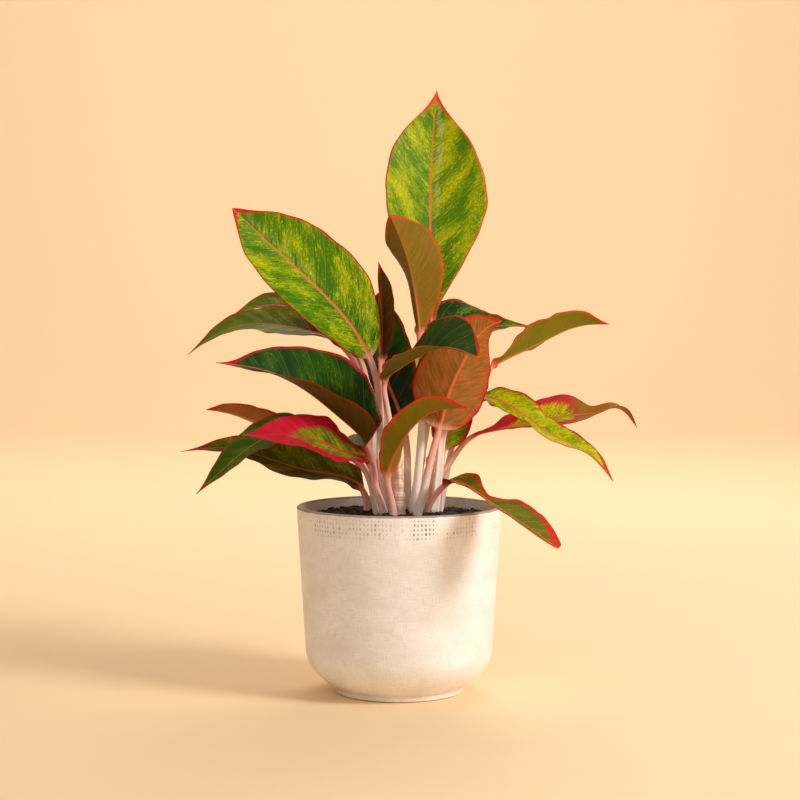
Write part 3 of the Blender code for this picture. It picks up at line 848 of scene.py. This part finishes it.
@dataclass
class Cane:
    """A short upright shoot with ringed skin."""

    name: str
    foot: tuple
    top: tuple
    radius: tuple
    buried: float = 6.0
    dome: float = 1.8
    rings: int = 90
    around: int = 36

    def build(self, finish: Material) -> Piece:
        """Circles along the cane's axis, swelling at each ring and closing in a blunt top.

        Args:
            finish: the skin that all canes share.

        Returns:
            The cane, which stands for its plain solid.
        """
        t = np.linspace(0.0, 1.0, self.rings)
        start = np.array(self.foot, float) - [0, 0, self.buried]
        end = np.array(self.top, float) + [0, 0, self.dome]
        axis = start + (end - start) * t[:, None]
        height = axis[:, 2]
        swell = 0.3 * np.cos(2 * math.pi * height / RING_PITCH) + 0.12 * np.cos(2 * math.pi * height / 2.1)
        radius = self.radius[0] + (self.radius[1] - self.radius[0]) * t + swell
        radius = radius * np.sqrt(1 - 0.75 * step(t, 0.94, 1.0))
        angle, flat = circle(self.around)
        bumps = 1 + 0.05 * np.sin(3 * angle[None] + height[:, None] * 0.12)
        points = np.repeat(axis[:, None], self.around, axis=1)
        points[..., :2] += flat[None] * (radius[:, None] * bumps)[..., None]
        faces = grid_faces(self.rings, self.around).tolist()
        last = (self.rings - 1) * self.around
        faces += [list(reversed(range(self.around))), list(range(last, last + self.around))]
        piece = add_piece(f"{self.name}_skin", points.reshape(-1, 3), faces, finish)
        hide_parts(self.name)
        return piece


# --- Leaves ---------------------------------------------------------------------------------------


class Slot(Enum):
    """The record's two leaf finishes."""

    GREEN = "leaf_green"
    RED = "leaf_red"


@dataclass
class Leaf:
    """One leaf: a stalk and the blade at its end, in millimetres and degrees.

    stalk runs from the soil to the blade, and rib from there to the tip. faces are the directions that the
    upper side looks in at the blade's base, middle and tip; fold_right and fold_left are how far each half
    turns up from the midrib there, and curl how much further each turns towards its margin. widest is where
    the blade is widest and a smaller slender makes it fuller. wave is the height of the margin's long waves
    and waves how many there are; waist is how much narrower the blade gets at one place, and that place.
    ripple is the height of the margin's short waves, uneven how much its width wanders, and quilt the height
    of the cushions between veins. thin is half the blade's thickness, and groove and ridge run above and
    below the midrib.
    """

    name: str
    stalk: tuple
    rib: tuple
    faces: tuple
    half_width: float
    widest: float
    fold_right: tuple
    fold_left: tuple
    finish: LeafFinish
    curl: tuple = (10.0, 10.0)
    slender: float = 0.8
    wave: float = 1.0
    waves: float = 2.5
    stalk_radius: tuple = (3.2, 2.2)
    waist: tuple = (0.0, 0.5)
    slot: Slot = Slot.GREEN
    ripple: float = 0.8
    uneven: float = 0.013
    quilt: float = 0.16
    thin: float = 0.3
    groove: float = 0.35
    ridge: float = 0.9
    stalk_stations: int = 30
    blade_stations: int = 150
    half_section: int = 29

    def outline(self, t: Array) -> Array:
        """Share of the half width: t^p (1-t)^q over its peak, drawn in at the waist and before the tip."""
        p = self.slender
        q = p * (1.0 - self.widest) / self.widest
        t = np.clip(t, 0.0, 1.0)
        peak = self.widest**p * (1.0 - self.widest) ** q
        narrow = 1.0 - self.waist[0] * np.exp(-(((t - self.waist[1]) / 0.13) ** 2))
        return narrow * t**p * (1.0 - t) ** q / peak * (1.0 - 0.35 * step(t, 0.8, 1.0))

    def path(self) -> tuple[Array, Array, Array, Array, Array, Array]:
        """Where the cross-sections stand: closer together towards the tip, where the blade narrows.

        Returns:
            Places, sides, normals, share along the blade, share up the stalk, and millimetres from the
            blade's base.
        """
        knots = np.array(self.stalk + self.rib, float)
        steps = np.linalg.norm(np.diff(knots, axis=0), axis=1)
        total = steps.sum()
        joint = steps[: len(self.stalk)].sum() / total
        u = np.linspace(0.0, 1.0, self.blade_stations)
        on_blade = joint + (1.0 - joint) * (0.85 * u + 0.15 * (1 - (1 - u) ** 3))
        at = np.concatenate([np.linspace(0.0, joint, self.stalk_stations, endpoint=False), on_blade])
        places = spline(knots, at)
        small = 1e-4
        ahead, behind = spline(knots, np.minimum(at + small, 1.0)), spline(knots, np.maximum(at - small, 0.0))
        tangents = unit(ahead - behind)
        t = np.clip((at - joint) / (1.0 - joint), 0.0, 1.0)
        facing = through_three(self.faces, t)
        normals = unit(facing - (facing * tangents).sum(1, keepdims=True) * tangents)
        return places, np.cross(tangents, normals), normals, t, at / joint, (at - joint) * total

    def section(self) -> tuple[Array, Array]:
        """Across and up for a cross-section's points, spaced by a sine cubed, finest at rib and margin."""
        u = np.linspace(-1.0, 1.0, self.half_section)
        across = 0.62 * u + 0.38 * np.sin(u * math.pi / 2) ** 3
        across = np.concatenate([across[::-1], across[1:-1]])
        up = np.sqrt(np.maximum(1.0 - across**2, 0.0))
        up[self.half_section :] *= -1.0
        return across, up

    def bent(self, width: Array, reach: Array, right: Array, t: Array, blade: Array) -> tuple[Array, Array]:
        """Carry each half of the blade along an arc that starts at its fold and turns by its curl.

        Args:
            width: millimetres from the midrib, measured on the blade.
            reach: share of the half width.
            right: whether the point is on the right half.
            t: share along the blade.
            blade: 0 on the stalk and 1 on the blade.

        Returns:
            Millimetres out to the side and up from the midrib: the integrals of cos and sin along the arc.
        """
        halves = [through_three(fold, t)[:, None] for fold in (self.fold_right, self.fold_left)]
        fold = np.radians(np.where(right, *halves)) * blade
        curl = np.radians(np.where(right, *self.curl)) * blade * reach
        curl = np.where(np.abs(curl) < 1e-3, 1e-3, curl)
        out = width * (np.sin(fold + curl) - np.sin(fold)) / curl
        return out, width * (np.cos(fold) - np.cos(fold + curl)) / curl

    def rippled(self, reach: Array, side: Array, t: Array, blade: Array) -> Array:
        """Height of the margin's waves: one long sine, and two short ones that die out faster inwards."""
        seed, full = self.finish.seed, 2 * math.pi
        long = self.wave * reach**2 * np.sin(full * (self.waves * t + 0.3 * side))
        short = np.sin(full * (5.3 * t + 0.21 * side + seed)) + 0.6 * np.sin(full * (9.1 * t - 0.3 * side))
        return (long + self.ripple * short * reach**4) * blade * (1 - t)

    def points(self) -> tuple[Array, Array, Array]:
        """The leaf's rings of points and their two attributes.

        A half blade lies on an arc; on it ride the margin's waves, two sines that make its width uneven, the
        cushions between the side veins, a groove above the midrib and a ridge below it. The stalk is a rod
        with a shallow channel, and turns into the blade over its first 8%.

        Returns:
            Points, (millimetres along, across, to the margin) and (share along, share across, face), each
            (n, 3).
        """
        places, sides, normals, t, up_stalk, along = self.path()
        across, up = self.section()
        first, last = self.stalk_radius
        stalk = (first + (last - first) * np.clip(up_stalk, 0.0, 1.0) ** 0.7) * (1.0 - 0.9 * t)
        half = np.sqrt(stalk**2 + (self.half_width * self.outline(t)) ** 2)[:, None]
        blade = step(t, 0.0, 0.08)[:, None]
        reach, side = np.abs(across)[None], np.where(across >= 0, 1.0, -1.0)[None]
        t2, along = t[:, None], along[:, None]
        seed = self.finish.seed
        wander = np.sin(2 * math.pi * (3.1 * t2 + 0.4 * side + 3 * seed))
        wander = wander + 0.6 * np.sin(2 * math.pi * (7.3 * t2 - 0.2 * side + 7 * seed))
        half = half * (1.0 + self.uneven * wander * blade)
        width = half * reach
        out, rise = self.bent(width, reach, (across >= 0)[None], t, blade)
        phase = (along - width * VEIN_SLANT - width**2 * VEIN_CURVE) / self.finish.vein_mm
        cushion = np.cos(2 * math.pi * (phase + side * VEIN_SHIFT + seed))
        cushion = self.quilt * cushion * step(width, 1.0, 6.0) * step(half - width, 0.5, 6.0)
        rise = rise + self.rippled(reach, side, t2, blade) + cushion * blade
        upper = (up > 0)[None]
        flat = np.sign(up)[None] * np.sqrt(1.0 - reach**8) * self.thin * (1 - 0.4 * t2)
        groove = -self.groove * np.exp(-((width / 1.1) ** 2)) * (1 - 0.7 * t2)
        ridge = -self.ridge * (1 - 0.85 * t2) * np.exp(-((width / 1.7) ** 2))
        body = flat + np.where(upper, groove, ridge) * (np.abs(up)[None] > 0)
        rod = stalk[:, None] * up[None] * np.where(upper, 0.45 + 0.55 * reach**2, 1.0)
        lift = rise + rod * (1 - blade) + body * blade
        points = places[:, None] + sides[:, None] * (side * out)[..., None]
        points = points + normals[:, None] * lift[..., None]
        face = np.sign(up)[None] * (np.abs(up)[None] > 1e-6)
        lengths = np.stack(np.broadcast_arrays(along, width * side, half), axis=-1)
        shares = np.stack(np.broadcast_arrays(t2, across[None], face), axis=-1)
        return points.reshape(-1, 3), lengths.reshape(-1, 3), shares.reshape(-1, 3)

    def build(self) -> Piece:
        """The leaf as one closed piece that stands for its plain solid."""
        points, lengths, shares = self.points()
        around = len(self.section()[0])
        rings = self.stalk_stations + self.blade_stations
        faces = grid_faces(rings, around)[:, ::-1].tolist()
        faces += [list(range(around)), list(reversed(range((rings - 1) * around, rings * around)))]
        piece = add_piece(f"{self.name}_grown", points, faces, self.finish.build(self.name))
        add_attribute(piece, "leaf_mm", lengths)
        add_attribute(piece, "leaf_share", shares)
        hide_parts(self.name)
        return piece


# --- The plant's canes and leaves -----------------------------------------------------------------


CANES = (
    Cane("cane_left", (-8, 5, 121), (-10.5, 4.5, 158), (4.4, 3.0)),
    Cane("cane_middle", (0.5, -9.5, 121), (-1, -10, 163), (4.6, 3.2)),
    Cane("cane_right", (17.5, 1.5, 121), (22, 4, 160), (4.4, 3.0)),
)

CORAL = paint(222, 64, 34)
CRIMSON = paint(196, 0, 44)
BRIGHT = {
    "green": paint(96, 144, 0),
    "dark": paint(44, 98, 2),
    "lime": paint(146, 164, 0),
    "yellow": paint(222, 200, 16),
}
DEEP = {"green": paint(38, 84, 12), "dark": paint(8, 36, 14), "lime": paint(96, 134, 8)}
COPPER = {"under": paint(132, 80, 10), "under_warm": paint(182, 104, 44)}
OLIVE = {"under": paint(102, 106, 10), "under_warm": paint(138, 104, 26)}

LEAVES = (
    Leaf(
        "leaf_top", stalk=((9, 3, 122), (15.5, 6.5, 160), (22, 10, 210)),
        rib=((23, 12, 250), (22, 17, 290), (22, 21, 350), (26, 22, 411)),
        faces=((0.1, -1, 0.1), (0.1, -1, 0.1), (0, -1, 0.2)), half_width=39, widest=0.55, slender=1.6,
        fold_right=(0, 2, 4), fold_left=(30, 28, 10),
        finish=LeafFinish(
            0.1, **BRIGHT, mottle=0.58, darkness=0.6, base_dark=0.2, margin=CORAL, red=0.9, painted_sheen=0.5,
        ),
    ),
    Leaf(
        "leaf_young_front", stalk=((10, -7, 121), (15, -3, 172), (16, -1, 215)),
        rib=((14, -4, 243), (11, -9, 267), (4, -14, 299), (-6, -12, 324)),
        faces=((0, 1, 0), (0, 1, 0), (-0.3, 1, 0.3)), half_width=23.5, widest=0.6, slender=0.9,
        fold_right=(60, 72, 40), fold_left=(20, 5, 10), curl=(14, 10),
        finish=LeafFinish(
            0.35, **BRIGHT, under=paint(130, 104, 18), under_warm=paint(164, 106, 48), margin=CORAL,
            red=0.8, flush=1.0,
        ),
    ),
    Leaf(
        "leaf_upper_left", stalk=((-8, -4, 121), (-12.5, -2, 160), (-14, -1, 205)),
        rib=((-20, -5, 228), (-52, -12, 272), (-86, -18, 304), (-111, -22, 328)),
        faces=((0.2, -0.9, 0.3), (0.1, -0.95, 0.3), (0, -0.9, 0.4)), half_width=33, widest=0.46,
        slender=0.68, fold_right=(0, 2, 4), fold_left=(25, 30, 10), curl=(8, 8),
        finish=LeafFinish(0.6, **BRIGHT, mottle=0.55, darkness=0.7, red=0.9, painted_sheen=0.2),
    ),
    Leaf(
        "leaf_spear", stalk=((0.5, 6.5, 121), (-6.5, 8, 170), (-11, 8, 205)),
        rib=((-12, 8, 225), (-12, 8, 245), (-12, 8, 270), (-14, 8, 293)),
        faces=((0.3, -1, 0), (0.3, -1, 0), (0.3, -1, 0)), half_width=14, widest=0.45,
        fold_right=(45, 45, 30), fold_left=(55, 55, 30), curl=(40, 40),
        finish=LeafFinish(
            0.85, **OLIVE, green=paint(112, 84, 20), dark=paint(76, 50, 14), mottle=0.05, red=1.2,
        ),
    ),
    # Painted shade: this back leaf's deep greens, darkest towards its base, stand in for the shade it sits in
    Leaf(
        "leaf_back_centre", stalk=((5, 12.5, 122), (6, 19, 150)),
        rib=((2, 26, 184), (-8, 31, 210), (-14, 38, 239), (-14, 46, 272)),
        faces=((0.2, -1, 0.3), (0.1, -1, 0.3), (0, -1, 0.5)), half_width=23, widest=0.45, slender=0.6,
        fold_right=(15, 15, 15), fold_left=(10, 10, 10),
        finish=LeafFinish(0.15, **DEEP, mottle=0.15, darkness=0.6, base_dark=1.2, red=1.4),
    ),
    Leaf(
        "leaf_centre", stalk=((-1, -0.5, 121), (-5, -4, 160), (-8, -6, 192)),
        rib=((-10, -6, 211), (-2, -18, 220), (13, -38, 230), (31, -54, 236), (51, -65, 230)),
        faces=((-0.5, 0, 0.9), (-0.1, -0.4, 0.9), (0.3, -0.5, 0.9)), half_width=24, widest=0.65,
        fold_right=(15, 20, 20), fold_left=(5, 28, 45),
        finish=LeafFinish(
            0.4, **OLIVE, green=paint(52, 80, 34), dark=paint(24, 48, 34), mottle=0.1, margin=CORAL,
            red=1.0,
        ),
    ),
    Leaf(
        "leaf_right_upright", stalk=((12, -18, 121), (18, -18, 144), (23, -17, 166)),
        rib=((27, -15, 180), (34, -12, 205), (45, -7, 228), (57, 0, 246), (70, 5, 253)),
        faces=((0, 1, 0), (-0.2, 1, 0.2), (-0.2, 0.8, 0.6)), half_width=27, widest=0.38, slender=0.5,
        fold_right=(20, 15, 10), fold_left=(10, 8, 5),
        finish=LeafFinish(0.65, **COPPER, warmth=0.5, red=0.8, flush=4.0),
    ),
    Leaf(
        "leaf_right_behind", stalk=((22, 17, 122), (27, 20, 170), (32, 23, 200)),
        rib=((36, 25, 228), (39, 27, 248), (56, 30, 248), (80, 34, 249), (97, 37, 247)),
        faces=((-0.3, -0.9, 0.3), (-0.2, -0.6, 0.8), (0.3, -0.5, 0.8)), half_width=20, widest=0.22,
        slender=0.45, fold_right=(20, 20, 10), fold_left=(30, 20, 10), wave=2.2,
        finish=LeafFinish(0.9, **DEEP, mottle=0.5, base_dark=0.8, red=0.9),
    ),
    Leaf(
        "leaf_front", stalk=((-3.5, -18, 121), (-6, -19, 135)),
        rib=((-8, -22, 147), (-3, -29, 164), (7, -42, 181), (22, -54, 194), (45, -65, 197)),
        faces=((-0.2, 0.9, 0.2), (-0.4, 0.5, 0.7), (0, 0.3, 0.9)), half_width=15, widest=0.5,
        fold_right=(10, 30, 45), fold_left=(0, 50, 50),
        finish=LeafFinish(
            0.2, under=paint(126, 116, 12), under_warm=paint(164, 104, 34), warmth=0.3, margin=CORAL,
            red=0.9, flush=1.6,
        ),
    ),
    Leaf(
        "leaf_small_right", stalk=((27, 2.5, 122), (28, 4, 140)),
        rib=((30, 6, 164), (36, 8, 182), (41, 12, 200), (45, 15, 216)),
        faces=((0, -1, 0.3), (0, -1, 0.3), (0, -1, 0.3)), half_width=14, widest=0.35,
        fold_right=(10, 10, 10), fold_left=(10, 10, 10), wave=2.2,
        finish=LeafFinish(0.45, **BRIGHT, mottle=0.6, red=2.0),
    ),
    Leaf(
        "leaf_right_high", stalk=((27.5, 12, 122), (35, 20.5, 160), (48, 22, 200)),
        rib=((62, 20, 219), (84, 24, 231), (105, 28, 241), (126, 32, 249), (147, 35, 250)),
        faces=((-0.3, 0.1, 0.9), (-0.33, 0.1, 0.93), (0, 0, 1)), half_width=17, widest=0.55, slender=1.2,
        fold_right=(45, 50, 30), fold_left=(-5, -5, 0), wave=2.2,
        finish=LeafFinish(
            0.7, under=paint(118, 118, 14), under_warm=paint(152, 106, 34), mottle=0.4, margin=CORAL,
            red=0.7, flush=0.4,
        ),
    ),
    Leaf(
        "leaf_right_middle", stalk=((24, -4.5, 122), (28, -2.5, 160), (36, 0, 190)),
        rib=((55, 6, 200), (83, -6, 190), (108, -18, 173.5), (128, -25, 164), (143, -30, 146)),
        faces=((0.2, -0.4, 0.8), (0.4, -0.4, 0.8), (0.6, -0.3, 0.6)), half_width=13, widest=0.35,
        slender=0.45, fold_right=(5, 5, 5), fold_left=(40, 22, 25), wave=2.2,
        finish=LeafFinish(0.95, **BRIGHT, mottle=0.75, base_dark=0.0, red=1.1, tip=0.75),
    ),
    Leaf(
        "leaf_right_red", stalk=((19, 10, 122), (21, 10.5, 138), (31.5, 12, 151)),
        rib=((48, 20, 171), (72, 21, 178), (98, 22, 183), (118, 24, 187), (136, 26, 188.5),
        (151, 28, 192), (166, 30, 178)), faces=((-0.2, 0.4, 0.9), (0, -0.7, 0.8), (0.2, 0.6, 0.7)),
        half_width=17, widest=0.55, slender=1.4, fold_right=(30, 20, 20), fold_left=(20, 20, 20),
        waist=(0.6, 0.74), slot=Slot.RED,
        finish=LeafFinish(
            0.25, **BRIGHT, mottle=0.7, margin=CRIMSON, red=9.5, tip=0.5, under=paint(146, 112, 20),
            faded_tip=0.9,
        ),
    ),
    Leaf(
        "leaf_over_rim", stalk=((17, -7.5, 122.5), (21, -12, 130)),
        rib=((31, -18, 143), (47, -40, 143), (63.5, -62, 133), (81, -82, 123), (101, -98, 110)),
        faces=((0, -0.4, 0.9), (0.3, -0.4, 0.8), (0.6, -0.5, 0.6)), half_width=16, widest=0.6,
        slender=0.45, fold_right=(20, 20, 10), fold_left=(20, 20, 10), waist=(0.75, 0.37),
        finish=LeafFinish(
            0.5, green=paint(112, 124, 6), dark=paint(116, 84, 10), lime=paint(150, 140, 10),
            under=paint(140, 96, 8), mottle=0.4, darkness=0.6, margin=paint(216, 44, 30), red=2.2, tip=0.7,
        ),
    ),
    Leaf(
        "leaf_left_middle", stalk=((-14, -7.5, 121), (-16, -7.5, 140)),
        rib=((-21, -10, 168), (-38, -18, 187), (-60, -28, 205.5), (-85, -37, 219), (-120, -45, 226)),
        faces=((0.4, -0.6, 0.7), (0.3, -0.6, 0.7), (0.1, -0.6, 0.8)), half_width=33, widest=0.34,
        slender=0.7, fold_right=(50, 45, 10), fold_left=(60, 50, 10), curl=(8, 8), wave=2.2,
        finish=LeafFinish(
            0.75, **DEEP, under=paint(88, 68, 10), under_warm=paint(116, 78, 22), mottle=0.22,
            darkness=0.6, base_dark=0.7, margin=CRIMSON, red=1.2, tip=0.8,
        ),
    ),
    Leaf(
        "leaf_left_red", stalk=((-9.5, -13.5, 121), (-12, -14, 130), (-16, -14, 142)),
        rib=((-20, -15, 158), (-33, -24, 164), (-49, -36, 172), (-76, -52, 179), (-102, -60, 179)),
        faces=((0.2, -0.4, 0.9), (0.1, -0.6, 0.8), (0, -0.5, 0.9)), half_width=20, widest=0.4, slender=0.7,
        fold_right=(20, 15, 10), fold_left=(10, 5, 5), wave=2.2, slot=Slot.RED,
        finish=LeafFinish(
            0.05, green=paint(112, 122, 10), lime=paint(150, 142, 20), mottle=0.45, darkness=0.6,
            margin=CRIMSON, red=8.0, tip=0.28, rib=paint(214, 34, 48), vein_mm=9.0,
        ),
    ),
    Leaf(
        "leaf_left_behind_red", stalk=((-15, -0.5, 121), (-22, -2, 150)),
        rib=((-40, -4, 170), (-67, -10, 178), (-92, -15, 173), (-114, -20, 157), (-136, -25, 137)),
        faces=((0.2, -0.4, 0.9), (-0.2, -0.4, 0.9), (-0.5, -0.4, 0.7)), half_width=19, widest=0.42,
        fold_right=(15, 10, 10), fold_left=(5, 5, 5), wave=2.2,
        finish=LeafFinish(0.3, mottle=0.3, red=0.9),
    ),
    Leaf(
        "leaf_left_low", stalk=((-21.5, 3, 121), (-22, 4.5, 129)),
        rib=((-25, 5, 137), (-61, 3, 150), (-88, 4, 158), (-116, 8, 165), (-150, 10, 163)),
        faces=((0.3, -0.5, 0.9), (0.2, -0.5, 0.8), (0, -0.4, 0.9)), half_width=21, widest=0.36,
        fold_right=(20, 20, 10), fold_left=(15, 15, 10), wave=2.2,
        finish=LeafFinish(
            0.55, green=paint(98, 104, 8), dark=paint(64, 58, 10), mottle=0.4, darkness=0.5,
            margin=CRIMSON, red=1.5,
        ),
    ),
    Leaf(
        "leaf_left_small", stalk=((-15, 15, 122), (-20, 14.5, 145)),
        rib=((-45, 20, 165), (-80, 28, 177), (-104, 33, 184), (-122, 37, 189), (-135, 40, 190)),
        faces=((0, 0.5, 0.9), (0, 0.5, 0.9), (0, 0.5, 0.9)), half_width=16, widest=0.5,
        fold_right=(10, 10, 10), fold_left=(10, 10, 10),
        finish=LeafFinish(0.8, **COPPER, warmth=0.6, red=1.2),
    ),
    Leaf(
        "leaf_left_high_back", stalk=((-5.5, 13.5, 122), (-12, 16, 170), (-22, 18, 210)),
        rib=((-38, 26, 234), (-57, 38, 252), (-77, 45, 262), (-95, 48, 263), (-120, 50, 254)),
        faces=((0.3, -0.5, 0.8), (0, -0.4, 0.9), (-0.3, -0.2, 0.9)), half_width=19, widest=0.45,
        fold_right=(10, 10, 10), fold_left=(10, 10, 10), wave=2.2,
        finish=LeafFinish(0.12, green=paint(112, 132, 8), dark=paint(88, 70, 12), mottle=0.4, red=1.0),
    ),
    Leaf(
        "leaf_left_high", stalk=((-16.5, 7.5, 121), (-17.5, 7.5, 170), (-22, 7, 210)),
        rib=((-30, 8, 232), (-59, 10, 245), (-84, 12, 250), (-115, 15, 248), (-146, 20, 229)),
        faces=((0.2, -0.3, 0.9), (0, -0.3, 0.95), (-0.3, -0.2, 0.9)), half_width=21, widest=0.42,
        fold_right=(20, 15, 10), fold_left=(10, 0, 0), wave=2.2,
        finish=LeafFinish(
            0.37, green=paint(112, 150, 4), mottle=0.5, base_dark=1.1, dark=paint(90, 40, 8), red=1.6,
            under=paint(100, 70, 10),
        ),
    ),
    Leaf(
        "leaf_back_right", stalk=((13, 14, 122), (15, 27, 158)),
        rib=((18, 40, 188), (26, 66, 212), (32, 96, 218), (36, 124, 206)),
        faces=((0, -0.5, 0.9), (0.1, 0.1, 1), (0.1, 0.5, 0.8)), half_width=25, widest=0.42,
        fold_right=(15, 10, 5), fold_left=(15, 10, 5), wave=2.2,
        finish=LeafFinish(0.62, **BRIGHT, mottle=0.5),
    ),
    Leaf(
        "leaf_back_left", stalk=((-2, 19.5, 122), (-9, 32, 165), (-16, 42, 204)),
        rib=((-22, 50, 228), (-34, 70, 250), (-46, 94, 262), (-56, 118, 258)),
        faces=((0.3, 0.1, 0.9), (-0.1, 0.4, 0.9), (-0.2, 0.5, 0.8)), half_width=26, widest=0.42,
        fold_right=(15, 10, 5), fold_left=(15, 10, 5), wave=2.2,
        finish=LeafFinish(0.87, mottle=0.5),
    ),
    Leaf(
        "leaf_back_low", stalk=((-9.5, 19.5, 122), (-13, 24, 134)),
        rib=((-17, 34, 148), (-30, 56, 162), (-43, 80, 166), (-56, 106, 156)),
        faces=((0.1, -0.3, 0.9), (-0.1, 0.1, 1), (-0.2, 0.5, 0.8)), half_width=21, widest=0.42,
        fold_right=(15, 10, 5), fold_left=(15, 10, 5), wave=2.2,
        finish=LeafFinish(0.17, **DEEP, mottle=0.4, red=2.0),
    ),
)


# --- The room -------------------------------------------------------------------------------------


@dataclass(frozen=True)
class Lamp:
    """A square light panel: where it is, what it faces, its side, all in metres, its power and its tint."""

    name: str
    place: Rgb
    at: Rgb
    side: float
    watts: float
    tint: Rgb

    def build(self) -> None:
        """Hang the panel, turned to face its point; the camera doesn't see it."""
        light = bpy.data.lights.new(self.name, "AREA")
        light.size = self.side
        light.energy = self.watts
        light.color = self.tint
        holder = bpy.data.objects.new(self.name, light)
        holder.location = self.place
        holder.visible_camera = False
        aim = np.array(self.at) - np.array(self.place)
        pitch = math.atan2(math.hypot(aim[0], aim[1]), -aim[2])
        holder.rotation_euler = (pitch, 0.0, math.atan2(-aim[0], aim[1]))
        bpy.context.scene.collection.objects.link(holder)


MIDDLE = (0.0, 0.0, 0.17)


@dataclass
class Studio:
    """A pale floor that sweeps up into a wall, soft daylight panels and the camera, in metres."""

    floor_colour: Rgba = paint(252, 222, 178)
    floor_gap: float = 0.0004
    half_width: float = 8.0
    front: float = -7.0
    wall: float = 4.0
    wall_height: float = 6.0
    sweep: float = 1.5
    air_colour: Rgba = paint(255, 243, 228)
    air: float = 0.42
    lens: float = 88.97
    sensor: float = 36.0
    eye: Rgb = (0.0007, -1.344, 0.271)
    tilt: float = 86.93
    lamps: tuple = (
        Lamp("key", (1.62, -0.92, 1.12), MIDDLE, 0.6, 33.0, (1.0, 0.99, 0.98)),
        Lamp("fill", (-0.4, -2.2, 1.0), MIDDLE, 1.4, 5.0, (1.0, 0.99, 0.99)),
        Lamp("back", (0.3, 1.3, 1.6), MIDDLE, 0.9, 9.0, (1.0, 0.98, 0.96)),
        Lamp("wall", (0.0, 1.6, 2.6), (0.0, 4.0, 0.8), 2.4, 47.0, (1.0, 0.98, 0.95)),
    )

    def floor(self) -> None:
        """A plain pale sweep: flat, then a quarter circle, then upright."""
        board = Board("pale_sweep")
        board.surface(self.floor_colour, 0.85)
        turn = np.linspace(0.0, 0.5 * math.pi, 25)[:, None]
        start = self.wall - self.sweep
        bend = np.concatenate([start + self.sweep * np.sin(turn), self.sweep * (1.0 - np.cos(turn))], axis=1)
        flat = [[self.front, 0.0], [start - 0.5, 0.0]]
        line = np.concatenate([flat, bend, [[self.wall, self.wall_height]]])
        points = np.zeros((len(line), 2, 3))
        points[:, 0, 0], points[:, 1, 0] = -self.half_width, self.half_width
        points[..., 1:] = line[:, None]
        points[..., 2] -= self.floor_gap
        i = np.arange(len(line) - 1) * 2
        mesh = bpy.data.meshes.new("sweep")
        faces = np.stack([i, i + 1, i + 3, i + 2], axis=1)
        mesh.from_pydata(points.reshape(-1, 3).tolist(), [], faces.tolist())
        mesh.polygons.foreach_set("use_smooth", np.ones(len(mesh.polygons), dtype=bool))
        mesh.materials.append(board.material)
        sweep = bpy.data.objects.new("sweep", mesh)
        bpy.context.scene.collection.objects.link(sweep)

    def camera(self) -> None:
        """The camera, level with the leaves and looking slightly down."""
        data = bpy.data.cameras.new("camera")
        data.lens = self.lens
        data.sensor_width = self.sensor
        holder = bpy.data.objects.new("camera", data)
        holder.location = self.eye
        holder.rotation_euler = (math.radians(self.tilt), 0.0, 0.0)
        bpy.context.scene.collection.objects.link(holder)
        bpy.context.scene.camera = holder

    def build(self) -> None:
        """Light the room and set up the camera."""
        scene = bpy.context.scene
        scene.view_settings.view_transform = "Standard"
        self.floor()
        for lamp in self.lamps:
            lamp.build()
        scene.world = bpy.data.worlds.new("air")
        scene.world.use_nodes = True
        sky = scene.world.node_tree.nodes["Background"]
        sky.inputs["Color"].default_value = self.air_colour
        sky.inputs["Strength"].default_value = self.air
        self.camera()


def main() -> None:
    """Build the pot, the soil, the canes, the leaves and the room, in that order."""
    logging.basicConfig(level=logging.INFO, format="%(message)s")
    Pot().build()
    soil = Soil()
    soil.build()
    soil.scatter()
    skin = CaneSkin().build()
    for cane in CANES:
        cane.build(skin)
    for leaf in LEAVES:
        leaf.build()
    Studio().build()


if __name__ == "__main__":
    main()
